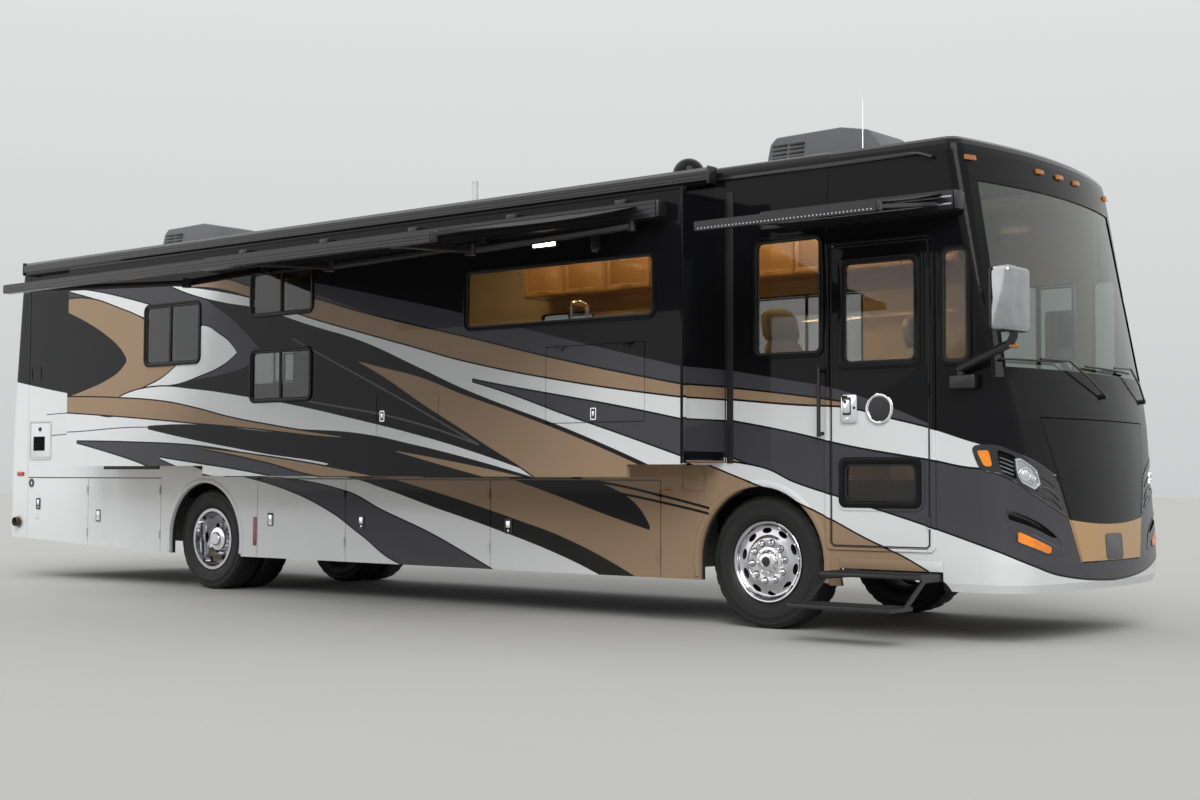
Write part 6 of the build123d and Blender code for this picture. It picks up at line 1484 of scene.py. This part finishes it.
def mirror_arm(name, side, end_x, end_y):
    """Foot on the corner post, bent arm up to the mirror and a small lamp under it."""
    y = side * HALF_W
    foot, end = Vector((at(1.652), y + side * 0.058, 1.835)), Vector((end_x, end_y, 1.985))
    make(name + "_arm", "trim", "coach", "trim_black",
         (add_box, at(1.58), at(1.77), y + side * 0.0004, y + side * 0.080, 1.700, 1.800, 0.016, 3),
         (add_tube, [(at(1.66), y + side * 0.052, 1.78), (at(1.66), y + side * 0.056, 1.852)], 0.027, 20),
         (add_tube, [foot, foot.lerp(end, 0.5), foot.lerp(end, 0.93), (end_x, end_y, 2.02), (end_x, end_y, 2.060)],
          0.029, 20))
    make(name + "_arm_lamp", "lens", "coach", "lamp_clear",
         (add_box, end_x - 0.030, end_x + 0.030, end_y - 0.018, end_y + 0.018, 1.945, 1.966, 0.006))


mirror_head("right_mirror", at(2.115), -1.460, 0.075, 0.155, 2.045, 2.470, -1)
mirror_head("left_mirror", at(1.160), 1.400, 0.135, 0.050, 2.045, 2.470, -1)
mirror_arm("right_mirror", -1, at(2.130), -1.440)
mirror_arm("left_mirror", 1, at(1.170), 1.400)
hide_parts("mirrors")

# ---------------------------------------------------------------- roof
# Side view of an air conditioner: distance ahead of its rear edge, height
AIR_UNIT_SIDE = ((0.0, 0.0), (0.04, 0.31), (0.09, 0.365), (0.66, 0.385), (0.91, 0.335), (1.13, 0.10), (1.16, 0.0))
AIR_UNIT_HALF = 0.36


def air_unit_tuck(v):
    """How far the side of an air conditioner leans in at height v."""
    return 0.10 * v / 0.385


def roof_unit(name, x):
    """Air conditioner: tapered shell with louvres in its sides and its rear."""
    bm = bmesh.new()
    outlines = []
    for side in (-1, 1):
        outlines.append([bm.verts.new((
            x + u, side * (AIR_UNIT_HALF - air_unit_tuck(v) * (1.0 if u > 0.5 else 0.55)), ROOF_Z + max(v, 0.0005)))
            for u, v in AIR_UNIT_SIDE])
    join_rings(bm, outlines)
    bm.faces.new(outlines[0][::-1])
    bm.faces.new(outlines[1])
    bmesh.ops.recalc_face_normals(bm, faces=bm.faces)
    rims = [e for e in bm.edges if e.calc_face_angle(0) > 0.35 and max(v.co.z for v in e.verts) > ROOF_Z + 0.05]
    round_edges(bm, rims, 0.022, 3)
    shell = piece(name + "_shell", bm, "grey_plastic", "coach")
    for label, side in SIDES:
        bm = bmesh.new()
        for column in (0.075, 0.235):
            for row in range(7):
                h = 0.065 + 0.036 * row
                y = side * (AIR_UNIT_HALF - air_unit_tuck(h) * 0.55)
                add_box(bm, x + column, x + column + 0.135, y - 0.004, y + 0.004, ROOF_Z + h, ROOF_Z + h + 0.017, 0.002)
        piece(name + "_louvres_" + label, bm, "trim", "coach")
    bm = bmesh.new()
    for column in range(4):
        for row in range(7):
            h, y = 0.055 + 0.034 * row, -0.27 + 0.14 * column
            back = x + 0.04 * h / 0.31
            add_box(bm, back - 0.002, back + 0.006, y, y + 0.115, ROOF_Z + h, ROOF_Z + h + 0.016, 0.002)
    piece(name + "_rear_louvres", bm, "trim", "coach")
    return shell


unit = roof_unit("front_air_unit", at(-0.56))
roof_unit("rear_air_unit", at(-8.58))
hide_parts("roof_units")

bm = bmesh.new()
dome = [(0.190, 0.0005), (0.190, 0.075), (0.180, 0.088), (0.132, 0.092), (0.132, 0.110)]
dome += [(0.132 * cos(radians(a)), 0.110 + 0.132 * sin(radians(a))) for a in range(10, 91, 10)]
add_upright(bm, dome, at(-1.15), -0.55, 64)
piece("satellite_dome", bm, "black_paint", "coach")
make("vent_pipe", "white_plastic", "coach", "roof_white",
     (add_upright, [(0.060, 0.0005), (0.055, 0.012), (0.034, 0.020), (0.028, 0.030), (0.028, 0.300), (0.026, 0.309),
                    (0.0, 0.310)], at(-3.51), -0.60, 28))
make("whip_aerial", "chrome", "coach", "roof_white",
     (add_upright, [(0.028, 0.0005), (0.024, 0.018), (0.012, 0.030), (0.010, 0.070), (0.004, 0.085), (0.0035, 0.655),
                    (0.0, 0.657)], at(0.40), -0.42, 14))
for label, x in (("rear", -5.60), ("middle", -3.00)):
    make(label + "_roof_vent", "white_plastic", "coach", "roof_white",
         (add_box, at(x), at(x) + 0.40, -0.20, 0.20, ROOF_Z + 0.0005, ROOF_Z + 0.060, 0.012),
         (add_box, at(x) + 0.01, at(x) + 0.39, -0.19, 0.19, ROOF_Z + 0.064, ROOF_Z + 0.109, 0.022, 4),
         *((add_box, at(x) + 0.06 + 0.06 * k, at(x) + 0.08 + 0.06 * k, -0.16, 0.16, ROOF_Z + 0.1065, ROOF_Z + 0.1105,
            0.001) for k in range(5)))
bm = bmesh.new()
for k in range(6):
    x = at(-9.2 + 1.9 * k)
    add_box(bm, x - 0.018, x + 0.018, -1.10, 1.10, ROOF_Z + 0.0003, ROOF_Z + 0.0025, 0.001)
piece("roof_seams", bm, "rubber", "coach")

# ---------------------------------------------------------------- awnings: end caps, brackets, ribs
def case_end(x, wall_y, low, high):
    """Step for the end cap of an awning case that hangs on the wall at wall_y."""
    return add_box, at(x), at(x) + 0.025, wall_y - 0.125, wall_y - 0.0005, low, high, 0.012, 3


make("patio_awning_caps", "trim", "slide_out", "alu_dark",
     case_end(-0.44, SLIDE_Y, 2.985, 3.110), case_end(-5.725, SLIDE_Y, 2.985, 3.110),
     (add_box, at(-0.59), at(-0.574), -4.014, -3.956, 2.592, 2.658, 0.012, 3),
     (add_box, at(-5.566), at(-5.55), -4.014, -3.956, 2.592, 2.658, 0.012, 3),
     *((add_box, at(x) - 0.05, at(x) + 0.05, SLIDE_Y - 0.090, SLIDE_Y - 0.0005, 3.1102, 3.150, 0.006)
       for x in (-5.2, -4.1, -3.0, -1.9, -0.8)))
make("patio_awning_ribs", "alu_black", "slide_out", "alu_dark",
     *((add_box, at(-5.69), at(-0.45), SLIDE_Y - 0.1285, SLIDE_Y - 0.1252, z, z + 0.010, 0.001)
       for z in (3.012, 3.047, 3.082)),
     *((add_box, at(-5.54), at(-0.60), -4.0175, -4.0153, z, z + 0.008, 0.0008) for z in (2.606, 2.628)))
make("door_awning_caps", "trim", "coach", "alu_dark",
     case_end(1.65, -HALF_W, 2.905, 3.035), case_end(0.085, -HALF_W, 2.905, 3.035),
     (add_box, at(1.57), at(1.585), -2.209, -2.151, 2.795, 2.856, 0.012, 3),
     (add_box, at(0.135), at(0.15), -2.209, -2.151, 2.795, 2.856, 0.012, 3))
make("door_awning_ribs", "alu", "coach", "alu_dark",
     *((add_box, at(0.12), at(1.64), -HALF_W - 0.1285, -HALF_W - 0.1252, z, z + 0.012, 0.001) for z in (2.935, 2.985)),
     *((add_box, at(0.17) + 0.029 * k, at(0.17) + 0.029 * k + 0.010, -2.2125, -2.2095, 2.802, 2.812, 0.0006)
       for k in range(48)))
make("topper_caps", "trim", "coach", "alu_dark",
     *((add_box, at(x) - 0.012, at(x) + 0.012, -HALF_W - 0.114, -HALF_W - 0.0005, 3.296, 3.436, 0.012, 3)
       for x in (-0.39, -9.69)),
     *((add_box, at(-9.67), at(-0.41), -HALF_W - 0.1125, -HALF_W - 0.1102, z, z + 0.009, 0.0008)
       for z in (3.345, 3.372)))

# ---------------------------------------------------------------- entry steps
bm = bmesh.new()
for y0, y1, z in ((-1.495, -1.235, 0.460), (-1.895, -1.615, 0.262)):
    count = int((y1 - y0) / 0.020)
    for k in range(count):
        y = y0 + 0.020 * k
        add_box(bm, at(0.71), at(1.46), y, y + 0.009, z + 0.0003, z + 0.0045, 0.0015)
piece("step_grips", bm, "rubber", "coach")
make("step_nosings", "trim", "coach", "trim_black",
     *((add_box, at(0.692), at(1.478), y - 0.0015, y + 0.001, z, z + 0.024, 0.001)
       for y, z in ((-1.5015, 0.431), (-1.9015, 0.236))))

# ---------------------------------------------------------------- interior seen through the glass
def panel_doors(name, body, x0, x1, count, z0, z1, face, out):
    """Row of raised-panel doors with bar handles; out is the direction in Y that they face."""
    bm = bmesh.new()
    bars = bmesh.new()
    step = (x1 - x0) / count

    def place(u, v, d):
        return Vector((u, face + out * d, v))

    for k in range(count):
        u0, u1 = x0 + step * k + 0.006, x0 + step * (k + 1) - 0.006
        add_ring(bm, rounded(u0, u1, z0, z1, 0.006, 3),
                 rounded(u0 + 0.05, u1 - 0.05, z0 + 0.05, z1 - 0.05, 0.004, 3), place, 0.0004, 0.018, 0.003)
        add_prism(bm, rounded(u0 + 0.049, u1 - 0.049, z0 + 0.049, z1 - 0.049, 0.004, 3), place, 0.0004, 0.013,
                  0.006)
        u = (u0 + u1) / 2
        add_tube(bars, [place(u + du, z0 + 0.03, d) for du, d in (
            (-0.05, 0.018), (-0.05, 0.036), (0.05, 0.036), (0.05, 0.018))], 0.005, 8)
    piece(name + "_doors", bm, "wood", body)
    piece(name + "_handles", bars, "chrome", body)


panel_doors("overhead", "coach", at(-4.2), at(0.56), 9, 2.87, 3.32, 0.82, -1)
panel_doors("galley_upper", "slide_out", at(-3.0), at(-0.45), 5, 2.81, 3.13, -1.40, 1)
panel_doors("galley_lower", "slide_out", at(-3.0), at(-0.45), 5, 1.30, 2.10, -1.16, 1)

make("galley_top", "counter", "slide_out", "wood_amber",
     *((add_box, at(x0), at(x1), y0, y1, 2.1503, 2.172, 0.002) for x0, x1, y0, y1 in (
         (-3.0, -1.70, -1.733, -1.16), (-1.15, -0.45, -1.733, -1.16), (-1.70, -1.15, -1.733, -1.64),
         (-1.70, -1.15, -1.28, -1.16))))
bm = bmesh.new()
tap_x = at(-1.425)
tap = [(tap_x, -1.69, 2.172), (tap_x, -1.69, 2.40)]
tap += [(tap_x, -1.59 - 0.10 * cos(radians(a)), 2.40 + 0.055 * sin(radians(a))) for a in range(15, 181, 15)]
tap.append((tap_x, -1.49, 2.338))
add_tube(bm, tap, 0.0168, 16)
add_lathe(bm, [(0.030, 0.0), (0.030, 0.02), (0.02, 0.03)], (tap_x + 0.07, -1.70, 2.19), -1, 20)
piece("galley_tap", bm, "chrome", "slide_out")

for k in range(3):
    x0, x1 = at(-2.29 + 0.66 * k), at(-1.64 + 0.66 * k)
    cushion("sofa_seat_" + str(k + 1), x0, x1, 0.565, 0.985, 1.5204, 1.66, 0.16, (), cuts=10)
    cushion("sofa_back_" + str(k + 1), x0, x1, 0.86, 0.975, 1.66, 2.02, 0.22, (), cuts=10)

# Lamps: two strips under the ceiling and one under the galley's upper cabinets
bm = bmesh.new()
for y in (-0.42, 0.42):
    for k in range(6):
        x = at(-4.6 + 0.85 * k)
        add_box(bm, x, x + 0.55, y - 0.03, y + 0.03, 3.366, 3.3895, 0.006)
piece("ceiling_lamps", bm, "lamp_warm", "coach")
bm = bmesh.new()
for k in range(5):
    x = at(-2.95 + 0.50 * k)
    add_box(bm, x, x + 0.38, -1.52, -1.48, 2.786, 2.7996, 0.004)
piece("galley_lamps", bm, "lamp_warm", "slide_out")

# Steering wheel grip over the rim of the dashboard's wheel
bm = bmesh.new()
tilt = Matrix.Translation((at(1.310), 0.600, 1.715)) @ Matrix.Rotation(radians(-54), 4, "Y")
rim = circle(0, 0, 0.215, 48)
rim = [tilt @ Vector((u, v, 0)) for u, v in rim + rim[:1]]
add_tube(bm, rim, 0.0168, 12, False)
piece("steering_grip", bm, "leather_black", "coach")
make("instrument_face", "housing", "coach", "dash_plastic",
     (add_box, at(1.468), at(1.474), 0.40, 0.80, 1.52, 1.64, 0.002))

# ---------------------------------------------------------------- wipers
WIPERS = (
    ((0.050, 1.690), (-0.469, 1.914), (-0.800, 1.914), (-1.165, 1.898), (-0.517, 1.906)),
    ((1.000, 1.690), (0.605, 1.914), (0.260, 1.904), (-0.191, 1.892), (0.644, 1.882)),
)
bm = bmesh.new()
rubber = bmesh.new()
for pivot, bend, grip, blade_a, blade_b in WIPERS:
    add_tube(bm, [cap_by_y(*pivot, 0.0005), cap_by_y(*pivot, 0.034)], 0.019, 18)
    add_tube(bm, [cap_by_y(*pivot, 0.028), cap_by_y((pivot[0] + bend[0]) / 2, (pivot[1] + bend[1]) / 2, 0.050),
                  cap_by_y(*bend, 0.058), cap_by_y(*grip, 0.046)], 0.0075, 10)
    blade = [(blade_a[0] + (blade_b[0] - blade_a[0]) * k / 14, blade_a[1] + (blade_b[1] - blade_a[1]) * k / 14)
             for k in range(15)]
    add_tube(bm, [cap_by_y(u, v, 0.030 + 0.014 * sin(pi * k / 14)) for k, (u, v) in enumerate(blade)], 0.0055, 8)
    add_tube(rubber, [cap_by_y(u, v, 0.022) for u, v in blade], 0.0065, 8)
arms = piece("wiper_arms", bm, "trim", "coach")
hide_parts("wipers")
piece("wiper_rubbers", rubber, "rubber", "coach")

# ---------------------------------------------------------------- stage, light, camera
bm = bmesh.new()
bmesh.ops.create_grid(bm, x_segments=1, y_segments=1, size=90)
mat, g, place = new_material("stage_pale")
set_look(g, g.mix(g.noise(place, 0.8), (0.49, 0.49, 0.485), (0.51, 0.51, 0.505)), 0.9, Specular_IOR_Level=0.1)
M["stage"] = mat
floor = piece("stage_floor", bm, "stage", None, smooth=False)

world = bpy.data.worlds.new("studio")
scene.world = world
world.use_nodes = True
g = Graph(world.node_tree)
background = world.node_tree.nodes["Background"]
path = g.node("ShaderNodeLightPath")
seen = g.math("MAXIMUM", path.outputs["Is Camera Ray"], g.math(
    "MAXIMUM", path.outputs["Is Glossy Ray"], path.outputs["Is Transmission Ray"]))
x, y, z = g.axes(g.node("ShaderNodeTexCoord").outputs["Generated"])
g.link(g.mix(g.between(z, -0.02, 0.75), (0.60, 0.605, 0.61), (1.0, 1.0, 1.0)), background.inputs["Color"])
g.link(g.between(seen, 0, 1, 0.70, 1.0), background.inputs["Strength"])

for name, aim, strength, spread in (("key", (0.52, -0.62, 0.62), 1.9, 40), ("fill", (-0.6, -0.5, 0.5), 0.55, 70)):
    light = bpy.data.lights.new(name, "SUN")
    light.energy = strength
    light.angle = radians(spread)
    lamp = bpy.data.objects.new(name, light)
    lamp.rotation_euler = Vector(aim).to_track_quat("Z", "Y").to_euler()
    scene.collection.objects.link(lamp)

CAMERA_AT = Vector((11.019, -11.496, 1.102))
YAW, PITCH, ROLL = radians(39.896), radians(2.62), radians(0.185)
FOCAL_PX, WIDTH_PX = 1696.985, 1200
ahead = Vector((-sin(YAW) * cos(PITCH), cos(YAW) * cos(PITCH), sin(PITCH)))
right = Vector((cos(YAW), sin(YAW), 0))
up = right.cross(ahead)
right, up = right * cos(ROLL) + up * sin(ROLL), up * cos(ROLL) - right * sin(ROLL)
camera_data = bpy.data.cameras.new("camera")
camera_data.sensor_width = 36.0
camera_data.sensor_fit = "HORIZONTAL"
camera_data.lens = FOCAL_PX / WIDTH_PX * camera_data.sensor_width
camera = bpy.data.objects.new("camera", camera_data)
camera.matrix_world = Matrix.Translation(CAMERA_AT) @ Matrix((
    (right.x, up.x, -ahead.x, 0), (right.y, up.y, -ahead.y, 0), (right.z, up.z, -ahead.z, 0), (0, 0, 0, 1)))
scene.collection.objects.link(camera)
scene.camera = camera
scene.view_settings.view_transform = "Standard"
